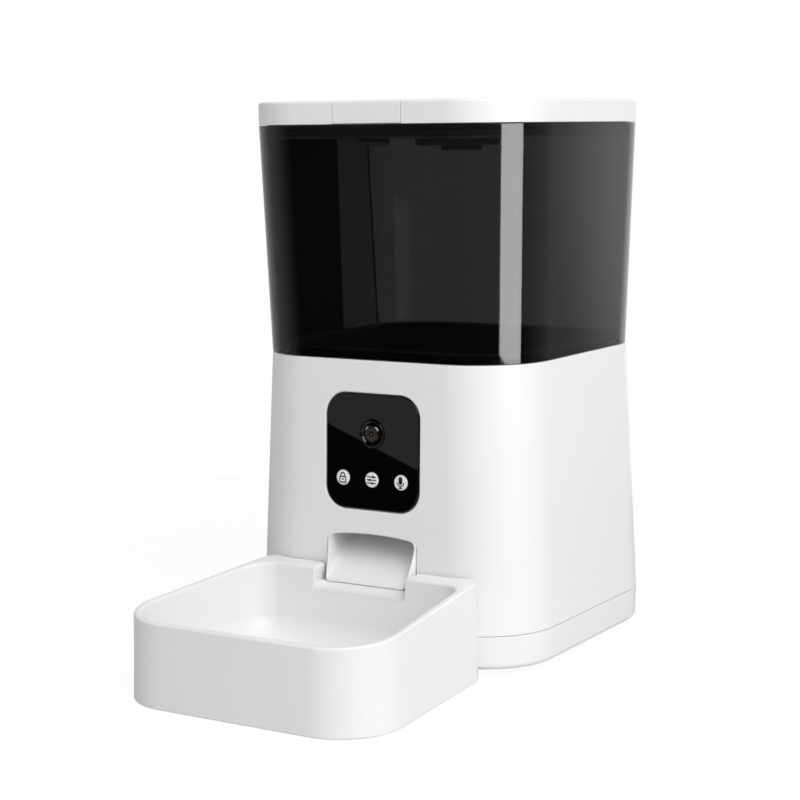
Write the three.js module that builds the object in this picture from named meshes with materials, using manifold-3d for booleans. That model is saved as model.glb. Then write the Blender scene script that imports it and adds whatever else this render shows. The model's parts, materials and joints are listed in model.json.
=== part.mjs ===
// A camera pet feeder: a food tank with its metering rotor, on a body that holds the drive, the electronics
// and the batteries, with a chute that drops the food into a bowl docked at the front.
// Millimetres, +Z up, front towards -Y. The floor is z = 0.

import * as THREE from 'three';
import { mergeVertices } from 'three/addons/utils/BufferGeometryUtils.js';
import Module from 'manifold-3d';

const wasm = await Module();
wasm.setup();

// Air between pieces that rest on each other, air round what slides or turns, and how far a cut runs past
// a face
const gap = 0.3;
const play = 0.5;
const overrun = 2;

// The plan shared by tray, shell, tank and lid is a rounded square
const plan = { corner: 43 };
const foot = { height: 3.5, radius: 9, pocket: 1.2, edge: 0.8, clear: 3, placeY: 60 };
const tray = { stepIn: 0.4, height: 19.1, wall: 3, floor: 2.5, edgeRound: 3, lip: 4, lipWall: 1.6 };
const slit = { width: 1, height: 7.5, rise: 1.7, depth: 1.2, placeY: 51.5 };
const shell = { bottomHalf: 94.8, draft: 5.4, height: 151.6, wall: 3, ledge: 6, ledgeThickness: 3 };
const boss = { radius: 5, height: 30, bury: 0.8 };
const screw = { shank: 1.6, head: 3, headHeight: 2, sink: 0.5 };
const baseScrew = { length: 27 };

// The deck carries the tank, and its well takes the metering cup
const deck = { drop: 19, thickness: 2.5 };
const deckScrew = { length: 8, inset: 13, lug: 6.5, lugHeight: 8 };
const rotor = { radius: 56.2, height: 34.7, vane: 2.2, vanes: 6, hub: 12, pivot: 9.5, headroom: 1 };
const cup = { wall: 3.2, floor: 2.5, lift: 2.5, step: 1.4, outletInner: 25, outletHalf: 25 };
const well = { depth: 45.2, wall: 2.2, floor: 2.5, room: 1.5 };
const baffle = { thickness: 2, hubRoom: 2, shelf: 8, overlap: 8 };
const funnel = { thickness: 2.2, rim: 2.2 };
const stirrer = { height: 9, radius: 9, arm: 40, armWidth: 5, armHeight: 3, peg: 3 };

// The tank and its lid
const tank = { height: 132.4, flare: 4.1, wall: 2.8, flange: 11, flangeThickness: 2, skirtWall: 2.5 };
const tankScrew = { length: 4.4, inset: 7.5 };
const lid = { height: 13.4, wall: 2.6, top: 2.6, edgeRound: 1.6, plug: 17.4, plugWall: 2, keeper: 1.2 };
const seal = { height: 3.8, stand: 1.5 };
const latch = {
  half: 22.3, sideGap: 0.35, plate: 2.4, top: 2.2, leg: 14, travel: 2, tongueHalf: 16, tongue: 2.1,
  tongueReach: 28, rail: 2, railFoot: 3, hookHalf: 10, hookWall: 2, hookNib: 2.5, stop: 2.4,
};
const catchRib = { half: 12, height: 1.2, depth: 1.6 };
const spring = { wire: 0.4, radius: 1.8, length: 12, turns: 6, seat: 2 };
const desiccant = {
  radius: 28, wall: 1.6, depth: 20, cap: 3, lug: 2, slotHalf: 1.5, slots: 12, placeY: 14, grip: 3,
};

// The bowl stands on the floor, hugs the front of the body and has a notch under the chute's lip
const bowl = {
  reach: 135.2, frontHalf: 83.4, rearHalf: 71.5, frontCorner: 32.8, rearCorner: 8.5, rearInset: 3.1, clear: 0.5,
  rimFront: 46.9, rimBack: 55.9, draft: 1.2, wall: 4.2, rearWall: 11.7, cavityCorner: 14, floor: 3,
  underside: 8, skirt: 5, edgeRound: 2, floorRound: 14,
};
const notch = { half: 30.6, rampDrop: 5.2, rampRun: 5.6 };
const tongue = { half: 28, reach: 26, thickness: 2.2, lift: 0.8 };
const chute = {
  half: 27.9, wall: 2, floor: 2.4, tip: 1.2, lipHalf: 26.7, lipDrop: 8.2, lipReach: 7.2, mouth: 27.1,
  corner: 5, arch: 1.4,
};
const chuteFlange = { side: 6, thickness: 2 };

// The black panel, its camera and its three buttons lie in the leaning front face
const panel = { half: 31, halfHeight: 33.3, corner: 13, thickness: 1.5, recess: 1.8 };
const panelPlaceShare = 0.4728;
const lens = {
  rise: 10.7, radius: 5.2, bezel: 8, bezelProud: 0.8, dome: 1.1, barrel: 7, depth: 9, seat: 2.6,
};
const cameraBoard = { half: 16, halfHeight: 12, thickness: 1.4, post: 2.2, pin: 1.1, postPlace: 12.5 };
const button = {
  spacing: 19.4, drop: 15.8, radius: 4.3, proud: 0.5, flange: 1.3, flangeHeight: 1, nub: 1.5, nubHeight: 0.9,
  travel: 0.7,
};
const buttonBoard = {
  half: 34, halfHeight: 7, thickness: 1.4, switchHalf: 3, switchHeight: 1.2, postPlace: 29.5,
};

// The drive under the well's floor: motor pinion, stepped idler, output gear, shaft
const gear = { module: 1, face: 6, clear: 1.25, tip: 0.8, rootTooth: 1.75, tipTooth: 0.62 };
const teeth = { output: 40, idlerSmall: 12, idlerBig: 36, pinion: 10 };
const shaft = { radius: 4, dog: 5.6, dogLength: 12.7, bushWall: 2.6, bushFlange: 2, bushFlangeHeight: 0.8 };
const gearbox = {
  drop: 8.2, wall: 2, floor: 2.5, cover: 2.2, room: 1.6, level: 2.5, corner: 8, pin: 2, hub: 1.6,
};
const gearboxScrew = { column: 3.6 };
const motor = {
  radius: 12, length: 31.5, shaft: 1, shaftBury: 12, flat: 2, endBoss: 3.5, endBossHeight: 1.6,
};
const idlerTurn = THREE.MathUtils.degToRad(150);
const pinionTurn = THREE.MathUtils.degToRad(-80);

// Batteries, their box in the tray and the door that slides out at the rear
const cell = { radius: 16.6, length: 60, nub: 4.7, nubHeight: 1.5, count: 3 };
const contact = { thickness: 0.8, bump: 1.3, bumpRadius: 5, halfHeight: 9 };
const box = { wall: 2, leg: 3.4, rearRoom: 2 };
const door = { plate: 2.2, tongue: 2, side: 2, end: 5, grip: 1.2, pitch: 4.8, ridges: 3 };

// Boards, speaker and power inlet
const mainBoard = { half: 44, front: 11, depth: 50, lift: 24, thickness: 1.6, post: 3, pin: 1.3, inset: 5 };
const speaker = {
  radius: 18, height: 12, magnet: 11, rim: 2.4, lip: 2, slotHalf: 1, slots: 5, placeX: 14, placeY: 50,
};
const inlet = {
  half: 4.6, height: 11, depth: 14, nose: 3.9, bore: 3.1, boreDepth: 9, pin: 1, placeX: 40, rise: 62,
};
const inletRib = { wall: 2, depth: 10 };

const roundSteps = 7;
const edgeSteps = 3;
const rodSides = 20;
const fineSides = 8;

// Heights, from the floor up
const trayBottom = foot.height;
const trayFloorTop = trayBottom + tray.floor;
const seam = trayBottom + tray.height;
const shellBottom = seam + gap;
const shellTop = seam + shell.height;
const deckTop = shellTop - deck.drop;
const deckBottom = deckTop - deck.thickness;
const wellFloorTop = deckTop - well.depth;
const wellFloorBottom = wellFloorTop - well.floor;
const cupFloorBottom = wellFloorTop + cup.lift;
const cupFloorTop = cupFloorBottom + cup.floor;
const rotorBottom = cupFloorTop + gap;
const rotorTop = rotorBottom + rotor.height;
const stepTop = rotorTop + rotor.headroom;
const baffleBottom = stepTop + gap;
const baffleTop = baffleBottom + baffle.thickness;
const throatTop = deckTop + gap + funnel.thickness;
const tankBottom = shellTop + gap;
const tankTop = shellTop + tank.height;
const flangeTop = tankBottom + tank.flangeThickness;
const rimBottom = flangeTop + gap;
const rimTop = rimBottom + funnel.rim;
const lidBottom = tankTop + gap;
const lidTop = tankTop + lid.height;
const lidUnder = lidTop - lid.top;
const plugBottom = lidUnder - lid.plug;
const ribTop = plugBottom - lid.keeper - gap;

// Half widths of the outer faces, which are straight from one level to the next
const trayHalf = shell.bottomHalf - tray.stepIn;
const shellTopHalf = shell.bottomHalf - shell.draft;
const tankTopHalf = shellTopHalf + tank.flare;
const lerp = (z, z0, half0, z1, half1) => half0 + (half1 - half0) * (z - z0) / (z1 - z0);
const shellHalf = (z) => lerp(z, seam, shell.bottomHalf, shellTop, shellTopHalf);
const tankHalf = (z) => lerp(z, shellTop, shellTopHalf, tankTop, tankTopHalf);
const cupRadius = rotor.radius + play + gap;
const cupOuter = cupRadius + cup.wall;
const wellRadius = cupOuter + well.room;
const cornerCentre = (half) => half - plan.corner;

// Closed outlines, counter-clockwise, as lists of [x, y]
function arc(cx, cy, radius, from, to, steps = roundSteps) {
  return Array.from({ length: steps + 1 }, (_, i) => {
    const angle = from + (to - from) * i / steps;
    return [cx + radius * Math.cos(angle), cy + radius * Math.sin(angle)];
  });
}

function roundedPlan(halfX, halfY, corner, steps = roundSteps) {
  const quarter = Math.PI / 2;
  return [[1, -1], [1, 1], [-1, 1], [-1, -1]].flatMap(([sx, sy], k) =>
    arc(sx * (halfX - corner), sy * (halfY - corner), corner, (k - 1) * quarter, k * quarter, steps));
}

const squarePlan = (half, inset = 0) => roundedPlan(half - inset, half - inset, plan.corner - inset);

// A circle with a point for each point of a rounded plan, in the same order
const circlePlan = (radius) => roundedPlan(radius, radius, radius);

// Rounds each corner [x, y, radius] of a convex outline
function roundedPolygon(corners, steps = roundSteps) {
  return corners.flatMap(([x, y, radius], i) => {
    if (!radius) return [[x, y]];
    const here = new THREE.Vector2(x, y);
    const toward = (other) => new THREE.Vector2(other[0], other[1]).sub(here).normalize();
    const back = toward(corners[(i + corners.length - 1) % corners.length]);
    const ahead = toward(corners[(i + 1) % corners.length]);
    const halfAngle = back.angleTo(ahead) / 2;
    const middle = back.clone().add(ahead).normalize().multiplyScalar(radius / Math.sin(halfAngle)).add(here);
    const from = Math.atan2(-back.x, back.y) + Math.PI;
    const sweep = Math.PI - 2 * halfAngle;
    return arc(middle.x, middle.y, radius, from, from + sweep, steps);
  });
}

// Basic geometries, placed by their ends
function block([x0, x1], [y0, y1], [z0, z1]) {
  return new THREE.BoxGeometry(x1 - x0, y1 - y0, z1 - z0)
    .translate((x0 + x1) / 2, (y0 + y1) / 2, (z0 + z1) / 2);
}

// A span on one side of the middle, or on the other
const either = (side, near, far) => (side > 0 ? [near, far] : [-far, -near]);

function rod(radius, z0, z1, x = 0, y = 0, sides = rodSides, topRadius = radius) {
  return new THREE.CylinderGeometry(topRadius, radius, z1 - z0, sides)
    .rotateX(Math.PI / 2).translate(x, y, (z0 + z1) / 2);
}

function rodAlongY(radius, y0, y1, x, z, sides = rodSides, farRadius = radius) {
  return new THREE.CylinderGeometry(farRadius, radius, y1 - y0, sides).translate(x, (y0 + y1) / 2, z);
}

function extruded(outline, depth) {
  const shape = new THREE.Shape(outline.map(([u, v]) => new THREE.Vector2(u, v)));
  return new THREE.ExtrudeGeometry(shape, { depth, bevelEnabled: false });
}

const prism = (outline, z0, z1) => extruded(outline, z1 - z0).translate(0, 0, z0);

// An outline of [y, z] points drawn along x, and one of [x, z] points drawn along y
const alongX = new THREE.Matrix4().makeBasis(
  new THREE.Vector3(0, 1, 0), new THREE.Vector3(0, 0, 1), new THREE.Vector3(1, 0, 0));
const alongY = new THREE.Matrix4().makeBasis(
  new THREE.Vector3(1, 0, 0), new THREE.Vector3(0, 0, 1), new THREE.Vector3(0, -1, 0));
const prismX = (outline, x0, x1) => extruded(outline, x1 - x0).applyMatrix4(alongX).translate(x0, 0, 0);
const prismY = (outline, y0, y1) => extruded(outline, y1 - y0).applyMatrix4(alongY).translate(0, y1, 0);

// A skin over outlines with as many points each, stacked from the lowest up, with flat ends
function loft(levels) {
  const count = levels[0].outline.length;
  const position = levels.flatMap(({ z, outline }) => outline.flatMap(([x, y]) => [x, y, z]));
  const index = [];
  for (let k = 0; k + 1 < levels.length; k++) {
    for (let i = 0; i < count; i++) {
      const a = k * count + i;
      const b = k * count + (i + 1) % count;
      index.push(a, b, b + count, a, b + count, a + count);
    }
  }
  const capAt = (level) => THREE.ShapeUtils.triangulateShape(
    levels[level].outline.map(([x, y]) => new THREE.Vector2(x, y)), []);
  const topStart = (levels.length - 1) * count;
  for (const [a, b, c] of capAt(0)) index.push(c, b, a);
  for (const [a, b, c] of capAt(levels.length - 1)) index.push(topStart + a, topStart + b, topStart + c);
  const geometry = new THREE.BufferGeometry();
  geometry.setAttribute('position', new THREE.Float32BufferAttribute(position, 3));
  geometry.setIndex(index);
  return geometry;
}

// Joining and cutting
function solid(source) {
  if (!source.isBufferGeometry) return source;
  const bare = source.clone();
  bare.deleteAttribute('normal');
  bare.deleteAttribute('uv');
  const merged = mergeVertices(bare);
  return new wasm.Manifold(new wasm.Mesh({
    numProp: 3,
    vertProperties: new Float32Array(merged.attributes.position.array),
    triVerts: new Uint32Array(merged.index.array),
  }));
}

const join = (...parts) => parts.map(solid).reduce((whole, part) => whole.add(part));
const cut = (body, ...tools) => tools.map(solid).reduce((whole, tool) => whole.subtract(tool), solid(body));
const meet = (body, tool) => solid(body).intersect(solid(tool));

function geometryOf(source) {
  const mesh = source.getMesh();
  const geometry = new THREE.BufferGeometry();
  geometry.setAttribute('position', new THREE.BufferAttribute(mesh.vertProperties, 3));
  geometry.setIndex(new THREE.BufferAttribute(mesh.triVerts, 1));
  geometry.computeVertexNormals();
  return geometry;
}

// Finishes
const whitePlastic = { color: 0xe9e9e9, roughness: 0.38, metalness: 0 };
const blackPlastic = { color: 0x151515, roughness: 0.45, metalness: 0 };
const glossBlack = { color: 0x070707, roughness: 0.08, metalness: 0 };
const smokedPlastic = { color: 0x2b2b2b, roughness: 0.12, metalness: 0, transparent: true, opacity: 0.8 };
const lensGlass = { color: 0x0c0e14, roughness: 0.04, metalness: 0 };
const greyRubber = { color: 0x6d6d6d, roughness: 0.75, metalness: 0 };
const gearPlastic = { color: 0xd9d4c4, roughness: 0.5, metalness: 0 };
const boardGreen = { color: 0x1d5a33, roughness: 0.55, metalness: 0 };
const steel = { color: 0xb9bcc0, roughness: 0.3, metalness: 1 };
const motorSteel = { color: 0x9a9da1, roughness: 0.35, metalness: 1 };
const cellWrap = { color: 0x3a3d42, roughness: 0.4, metalness: 0.3 };
const desiccantGrey = { color: 0xc9c9c6, roughness: 0.5, metalness: 0 };

const root = new THREE.Group();

function add(name, body, finish, group = root) {
  const mesh = new THREE.Mesh(geometryOf(solid(body)), new THREE.MeshStandardMaterial(finish));
  mesh.name = name;
  group.add(mesh);
}

// A screw with its head down at z0 and its shank going up, and the hole it needs
function screwUp(x, y, z0, length) {
  return join(
    rod(screw.head, z0, z0 + screw.headHeight, x, y, fineSides),
    rod(screw.shank, z0 + screw.headHeight / 2, z0 + screw.headHeight + length, x, y, fineSides));
}

const screwHole = (x, y, z0, z1) => rod(screw.shank + gap, z0, z1, x, y, fineSides);
const headHole = (x, y, z0, z1) => rod(screw.head + gap, z0, z1, x, y, fineSides);
const fourCorners = [[1, -1], [1, 1], [-1, 1], [-1, -1]];
const twoCorners = [[1, 1], [-1, -1]];

// Where the screws stand, each on the diagonal of its corner
const diagonal = (half, reach) => cornerCentre(half) + reach / Math.SQRT2;
const baseScrewPlace = diagonal(shell.bottomHalf, plan.corner - shell.wall - boss.radius + boss.bury);
const deckScrewPlace = diagonal(shellHalf(deckTop), plan.corner - shell.wall - deckScrew.inset);
const tankScrewPlace = diagonal(tankHalf(tankBottom), plan.corner - tank.wall - tankScrew.inset);

// The battery bay: cells side by side along x, lying along y
const bayHalf = cell.count * cell.radius + (cell.count + 1) * gap;
const doorTongueHalf = bayHalf + door.side + play;
const doorTop = trayFloorTop + gap + door.tongue;
const cellCentreZ = trayBottom + door.plate + gap + cell.radius;
const cellXs = Array.from({ length: cell.count }, (_, i) =>
  (i - (cell.count - 1) / 2) * (2 * cell.radius + gap));
const bayRear = trayHalf - tray.wall - box.rearRoom - box.wall;
const bayLength = cell.length + cell.nubHeight + 2 * (contact.thickness + contact.bump + 2 * gap);
const bayFront = bayRear - bayLength;
const bayTop = cellCentreZ + cell.radius + gap;
const boxFloor = doorTop + gap;
const footPlaceX = doorTongueHalf + foot.clear + foot.radius;

// The chute's side view, from its lip up to the outlet
const lipTop = bowl.rimBack - chute.lipDrop;
const lipY = -(shellHalf(lipTop) + chute.lipReach);
const mouthTop = lipTop + chute.mouth;
const chuteTop = wellFloorBottom - gap;
const slideTopY = -cup.outletInner + play;
const roofTopY = -(cupRadius + play);
const roofStartY = -(shellHalf(mouthTop) - shell.wall - gap);
const mouthHalf = chute.half + chute.wall + gap;

// The leaning front face: x across, local z up along the face, local y into the body
const lean = Math.atan(shell.draft / shell.height);
const panelZ = mouthTop + (shellTop - mouthTop) * panelPlaceShare;
const face = new THREE.Group();
face.position.set(0, -shellHalf(panelZ), panelZ);
face.rotation.x = -lean;
face.updateMatrix();
root.add(face);
const onFace = (geometry) => geometry.applyMatrix4(face.matrix);
const buttonXs = [-button.spacing, 0, button.spacing];

const panelOutline = (inset) =>
  roundedPlan(panel.half - inset, panel.halfHeight - inset, panel.corner - inset);

const wallBack = shell.wall;
const boardFront = wallBack + gap + button.flangeHeight + button.nubHeight + button.travel + gap
  + buttonBoard.switchHeight;
const cameraBoardFront = lens.seat + lens.depth + gap;

function makeTray() {
  const corners = Array.from({ length: edgeSteps + 1 }, (_, i) => {
    const angle = Math.PI / 2 * i / edgeSteps;
    return {
      z: trayBottom + tray.edgeRound * (1 - Math.cos(angle)),
      outline: squarePlan(trayHalf, tray.edgeRound * (1 - Math.sin(angle))),
    };
  });
  const outer = solid(loft([...corners, { z: seam, outline: squarePlan(shell.bottomHalf) }]));
  const inner = loft([
    { z: trayFloorTop, outline: squarePlan(trayHalf, tray.wall) },
    { z: seam + overrun, outline: squarePlan(shell.bottomHalf, tray.wall) },
  ]);
  const ring = (z0, z1, outside, inside) => cut(
    loft([z0, z1].map((z) => ({ z, outline: squarePlan(shell.bottomHalf, outside) }))),
    loft([z0 - overrun, z1 + overrun].map((z) => ({ z, outline: squarePlan(shell.bottomHalf, inside) }))));
  const lipInside = shell.wall + gap + tray.lipWall;
  const lipRoot = ring(seam - tray.lip, seam, tray.wall / 2, lipInside);
  const lip = ring(seam - tray.lip, seam + tray.lip, shell.wall + gap, lipInside);
  const lipGaps = fourCorners.map(([sx, sy]) =>
    rod(boss.radius + play, seam, seam + tray.lip + overrun, sx * baseScrewPlace, sy * baseScrewPlace));
  const posts = fourCorners.map(([sx, sy]) =>
    rod(boss.radius, trayBottom + tray.floor / 2, seam, sx * baseScrewPlace, sy * baseScrewPlace));
  const headTop = trayBottom + screw.sink + screw.headHeight + gap;
  const holes = fourCorners.flatMap(([sx, sy]) => [
    screwHole(sx * baseScrewPlace, sy * baseScrewPlace, trayBottom - overrun, seam + overrun),
    headHole(sx * baseScrewPlace, sy * baseScrewPlace, trayBottom - overrun, headTop),
    rod(foot.radius + gap, trayBottom - overrun, trayBottom + foot.pocket + gap, sx * footPlaceX,
      sy * foot.placeY),
  ]);
  const doorHole = block([-bayHalf - gap, bayHalf + gap], [bayFront - gap, trayHalf + overrun],
    [trayBottom - overrun, trayFloorTop + overrun]);
  const doorEnd = block([-doorTongueHalf - gap, doorTongueHalf + gap],
    [trayHalf - tray.wall - door.end, trayHalf + overrun], [trayBottom - overrun, doorTop + gap]);
  const slitCut = block([trayHalf - slit.depth, trayHalf + overrun],
    [slit.placeY - slit.width / 2, slit.placeY + slit.width / 2],
    [trayBottom + slit.rise, trayBottom + slit.rise + slit.height]);
  const boardPosts = boardCorners().flatMap(([x, y]) => [
    rod(mainBoard.post, trayBottom + tray.floor / 2, trayFloorTop + mainBoard.lift - gap, x, y, fineSides),
    rod(mainBoard.pin, trayFloorTop, trayFloorTop + mainBoard.lift + 2 * mainBoard.thickness, x, y,
      fineSides),
  ]);
  const speakerSlots = Array.from({ length: speaker.slots }, (_, i) => {
    const place = (i - (speaker.slots - 1) / 2) * speaker.radius / speaker.slots * 2;
    const half = Math.sqrt((speaker.radius - speaker.rim) ** 2 - place ** 2) - speaker.rim;
    return block([-speaker.placeX - half, -speaker.placeX + half],
      [-speaker.placeY + place - speaker.slotHalf, -speaker.placeY + place + speaker.slotHalf],
      [trayBottom - overrun, trayFloorTop + overrun]);
  });
  const speakerCollar = cut(
    rod(speaker.radius + gap + speaker.lip, trayBottom + tray.floor / 2, trayFloorTop + speaker.height / 2,
      -speaker.placeX, -speaker.placeY),
    rod(speaker.radius + gap, trayFloorTop, trayFloorTop + speaker.height, -speaker.placeX, -speaker.placeY));
  const shellPart = join(cut(outer, inner), cut(lip, ...lipGaps), lipRoot, ...posts, ...boardPosts,
    speakerCollar);
  add('base_tray', cut(shellPart, ...holes, doorHole, doorEnd, slitCut, ...speakerSlots), whitePlastic);
  return outer;
}

function boardCorners() {
  const front = -(trayHalf - tray.wall - mainBoard.front);
  const x = mainBoard.half - mainBoard.inset;
  return [[x, front + mainBoard.inset], [x, front + mainBoard.depth - mainBoard.inset],
    [-x, front + mainBoard.depth - mainBoard.inset], [-x, front + mainBoard.inset]];
}

function makeFeetAndScrews() {
  fourCorners.forEach(([sx, sy], i) => {
    const x = sx * footPlaceX;
    const y = sy * foot.placeY;
    add(`foot_${i + 1}`, join(
      rod(foot.radius - foot.edge, 0, foot.edge, x, y, rodSides, foot.radius),
      rod(foot.radius, foot.edge, trayBottom + foot.pocket, x, y)), greyRubber);
    add(`base_screw_${i + 1}`, screwUp(sx * baseScrewPlace, sy * baseScrewPlace, trayBottom + screw.sink,
      baseScrew.length), steel);
  });
}

// The outline of the chute's mouth in the front wall, [x, z]
function mouthOutline(inset) {
  const side = mouthHalf - inset;
  const low = lipTop - chute.tip - gap + inset;
  const high = mouthTop - inset;
  const corner = chute.corner - inset;
  return roundedPolygon([[-side, low, 0], [side, low, 0], [side, high - chute.arch, corner], [0, high, 0],
    [-side, high - chute.arch, corner]]);
}

function makeShell() {
  const outer = loft([
    { z: shellBottom, outline: squarePlan(shellHalf(shellBottom)) },
    { z: shellTop, outline: squarePlan(shellTopHalf) },
  ]);
  const inside = (z, inset = 0) => ({ z, outline: squarePlan(shellHalf(z), shell.wall + inset) });
  const inner = loft([inside(shellBottom - overrun), inside(shellTop + overrun)]);
  const ledgeTop = deckBottom - gap;
  const ledgeLow = ledgeTop - shell.ledgeThickness;
  const ledge = cut(
    loft([ledgeLow, ledgeTop].map((z) => ({ z, outline: squarePlan(shellHalf(z), shell.wall / 2) }))),
    loft([inside(ledgeLow - overrun, shell.ledge), inside(ledgeTop + overrun, shell.ledge)]));
  const lugs = twoCorners.map(([sx, sy]) =>
    rod(deckScrew.lug, ledgeTop - deckScrew.lugHeight, ledgeTop, sx * deckScrewPlace, sy * deckScrewPlace));
  const lugArms = twoCorners.map(([sx, sy]) => {
    const outward = deckScrew.inset * Math.SQRT1_2;
    const half = deckScrew.lug * Math.SQRT1_2;
    const arm = (s) => either(s, deckScrewPlace - half, deckScrewPlace + half + outward);
    return meet(block(arm(sx), arm(sy), [ledgeLow, ledgeTop]),
      loft([ledgeLow, ledgeTop].map((z) => ({ z, outline: squarePlan(shellHalf(z), shell.wall / 2) }))));
  });
  const bosses = fourCorners.map(([sx, sy]) =>
    rod(boss.radius, shellBottom, shellBottom + boss.height, sx * baseScrewPlace, sy * baseScrewPlace));
  const cavity = loft([
    { z: shellBottom - overrun, outline: squarePlan(shellHalf(shellBottom), shell.wall / 2) },
    { z: shellBottom + boss.height + overrun,
      outline: squarePlan(shellHalf(shellBottom + boss.height), shell.wall / 2) },
  ]);
  const bossesInside = bosses.map((one) => meet(one, cavity));
  const postTo = (x, u, to, radius, pinRadius, pinTo) => [
    onFace(rodAlongY(radius, wallBack - shell.wall / 2, to, x, u, fineSides)),
    onFace(rodAlongY(pinRadius, wallBack, pinTo, x, u, fineSides)),
  ];
  const boardPosts = [-1, 1].flatMap((side) => [
    ...postTo(side * buttonBoard.postPlace, -button.drop, boardFront - gap, cameraBoard.post, cameraBoard.pin,
      boardFront + 2 * buttonBoard.thickness),
    ...postTo(side * cameraBoard.postPlace, lens.rise, cameraBoardFront - gap, cameraBoard.post, cameraBoard.pin,
      cameraBoardFront + 2 * cameraBoard.thickness),
  ]);
  const inletBack = shellHalf(inlet.rise) - shell.wall;
  const ribs = [-1, 1].map((side) => {
    const near = inlet.half + gap;
    const x = either(side, near, near + inletRib.wall).map((v) => inlet.placeX + v);
    return block(x, [inletBack - inletRib.depth, inletBack + shell.wall / 2],
      [inlet.rise - inlet.height / 2, inlet.rise + inlet.height / 2]);
  });
  const screwBores = fourCorners.map(([sx, sy]) => screwHole(sx * baseScrewPlace, sy * baseScrewPlace,
    shellBottom - overrun, trayBottom + screw.sink + screw.headHeight + baseScrew.length + overrun));
  const deckBores = twoCorners.map(([sx, sy]) => screwHole(sx * deckScrewPlace, sy * deckScrewPlace,
    deckTop - deckScrew.length - overrun / 2, ledgeTop + overrun));
  const panelRecess = onFace(prismY(panelOutline(-gap), -overrun, panel.recess));
  const cameraHole = onFace(rodAlongY(lens.bezel + gap, -overrun, wallBack + overrun, 0, lens.rise));
  const buttonHoles = buttonXs.map((x) =>
    onFace(rodAlongY(button.radius + gap, -overrun, wallBack + overrun, x, -button.drop, rodSides)));
  const mouth = prismY(mouthOutline(0), -shellHalf(lipTop) - overrun, -shellHalf(shellTop) + 2 * shell.wall);
  const inletHole = rodAlongY(inlet.nose + gap, inletBack - overrun, shell.bottomHalf + overrun, inlet.placeX,
    inlet.rise);
  const body = join(cut(outer, inner), ledge, ...lugs, ...lugArms, ...bossesInside, ...boardPosts, ...ribs);
  add('body_shell', cut(body, ...screwBores, ...deckBores, panelRecess, cameraHole, ...buttonHoles, mouth,
    inletHole), whitePlastic);
}

function makeDeck() {
  const plate = loft([deckBottom, deckTop].map((z) => ({
    z, outline: squarePlan(shellHalf(deckTop), shell.wall + gap),
  })));
  const outside = rod(wellRadius + well.wall, wellFloorBottom, deckTop, 0, 0, 2 * rodSides);
  const inside = rod(wellRadius, wellFloorTop, deckTop + overrun, 0, 0, 2 * rodSides);
  const columns = gearboxScrewPlaces.map(([x, y]) =>
    rod(gearboxScrew.column, wellFloorBottom - gearbox.drop + gap, wellFloorBottom + well.floor / 2, x, y,
      fineSides));
  const outlet = outletCutter(wellFloorBottom - overrun, wellFloorTop + overrun, play);
  const shaftHole = rod(shaft.radius + play + shaft.bushWall + gap, wellFloorBottom - overrun,
    wellFloorTop + overrun);
  const screwHoles = twoCorners.map(([sx, sy]) =>
    screwHole(sx * deckScrewPlace, sy * deckScrewPlace, deckBottom - overrun, deckTop + overrun));
  const columnHoles = gearboxScrewPlaces.map(([x, y]) =>
    screwHole(x, y, wellFloorBottom - gearbox.drop - overrun, wellFloorBottom));
  add('tank_seat', cut(join(plate, outside, ...columns), inside, outlet, shaftHole, ...screwHoles,
    ...columnHoles), whitePlastic);
  twoCorners.forEach(([sx, sy], i) => {
    const down = screwUp(0, 0, 0, deckScrew.length);
    const geometry = geometryOf(down).rotateX(Math.PI)
      .translate(sx * deckScrewPlace, sy * deckScrewPlace, deckTop + screw.headHeight + gap);
    add(`deck_screw_${i + 1}`, geometry, steel);
  });
}

// The food's way out of the metering cup: a piece of a ring in front of the shaft
function outletCutter(z0, z1, extra = 0) {
  const ring = cut(rod(cupRadius - gap + extra, z0, z1, 0, 0, 2 * rodSides), rod(cup.outletInner - extra,
    z0 - overrun, z1 + overrun));
  return meet(ring, block([-cup.outletHalf - extra, cup.outletHalf + extra], [-cupOuter, 0],
    [z0 - overrun, z1 + overrun]));
}

function makeChute() {
  const side = chute.half + chute.wall;
  const wallTop = mouthTop - gap;
  const slope = (chuteTop - lipTop) / (slideTopY - lipY);
  const underY = slideTopY + chute.floor * Math.hypot(1, slope) / slope;
  const roofRise = chute.wall * Math.SQRT2;
  const taperBack = -shellHalf(wallTop);
  const taper = (inset) => prism([
    [chute.lipHalf - inset, lipY], [side - inset, taperBack], [side - inset, overrun],
    [inset - side, overrun], [inset - side, taperBack], [inset - chute.lipHalf, lipY],
    [inset - chute.lipHalf, lipY - 2 * overrun], [chute.lipHalf - inset, lipY - 2 * overrun],
  ], 0, chuteTop + 2 * overrun);
  const front = meet(
    prismX([[lipY, lipTop - chute.tip], [roofStartY, lipTop - chute.tip + slope * (roofStartY - lipY)],
      [roofStartY, wallTop], [-shellHalf(wallTop), wallTop], [lipY, lipTop]], -side, side),
    meet(prismY(mouthOutline(gap), lipY - overrun, roofStartY + overrun), taper(0)));
  const duct = prismX([[roofStartY, lipTop - chute.tip + slope * (roofStartY - lipY)], [underY, chuteTop],
    [roofTopY - chute.wall, chuteTop], [roofStartY, mouthTop + roofRise]], -side, side);
  const flange = block([-side - chuteFlange.side, side + chuteFlange.side], [roofTopY - chute.wall, underY],
    [chuteTop - chuteFlange.thickness, chuteTop]);
  const way = prismX([[lipY - overrun, lipTop], [lipY, lipTop], [slideTopY, chuteTop],
    [slideTopY, chuteTop + overrun], [roofTopY, chuteTop + overrun], [roofTopY, chuteTop],
    [roofStartY, mouthTop - gap], [lipY - overrun, mouthTop - gap]], -chute.half, chute.half);
  add('chute', cut(join(front, duct, flange), meet(way, taper(chute.wall))), whitePlastic);
}

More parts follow.
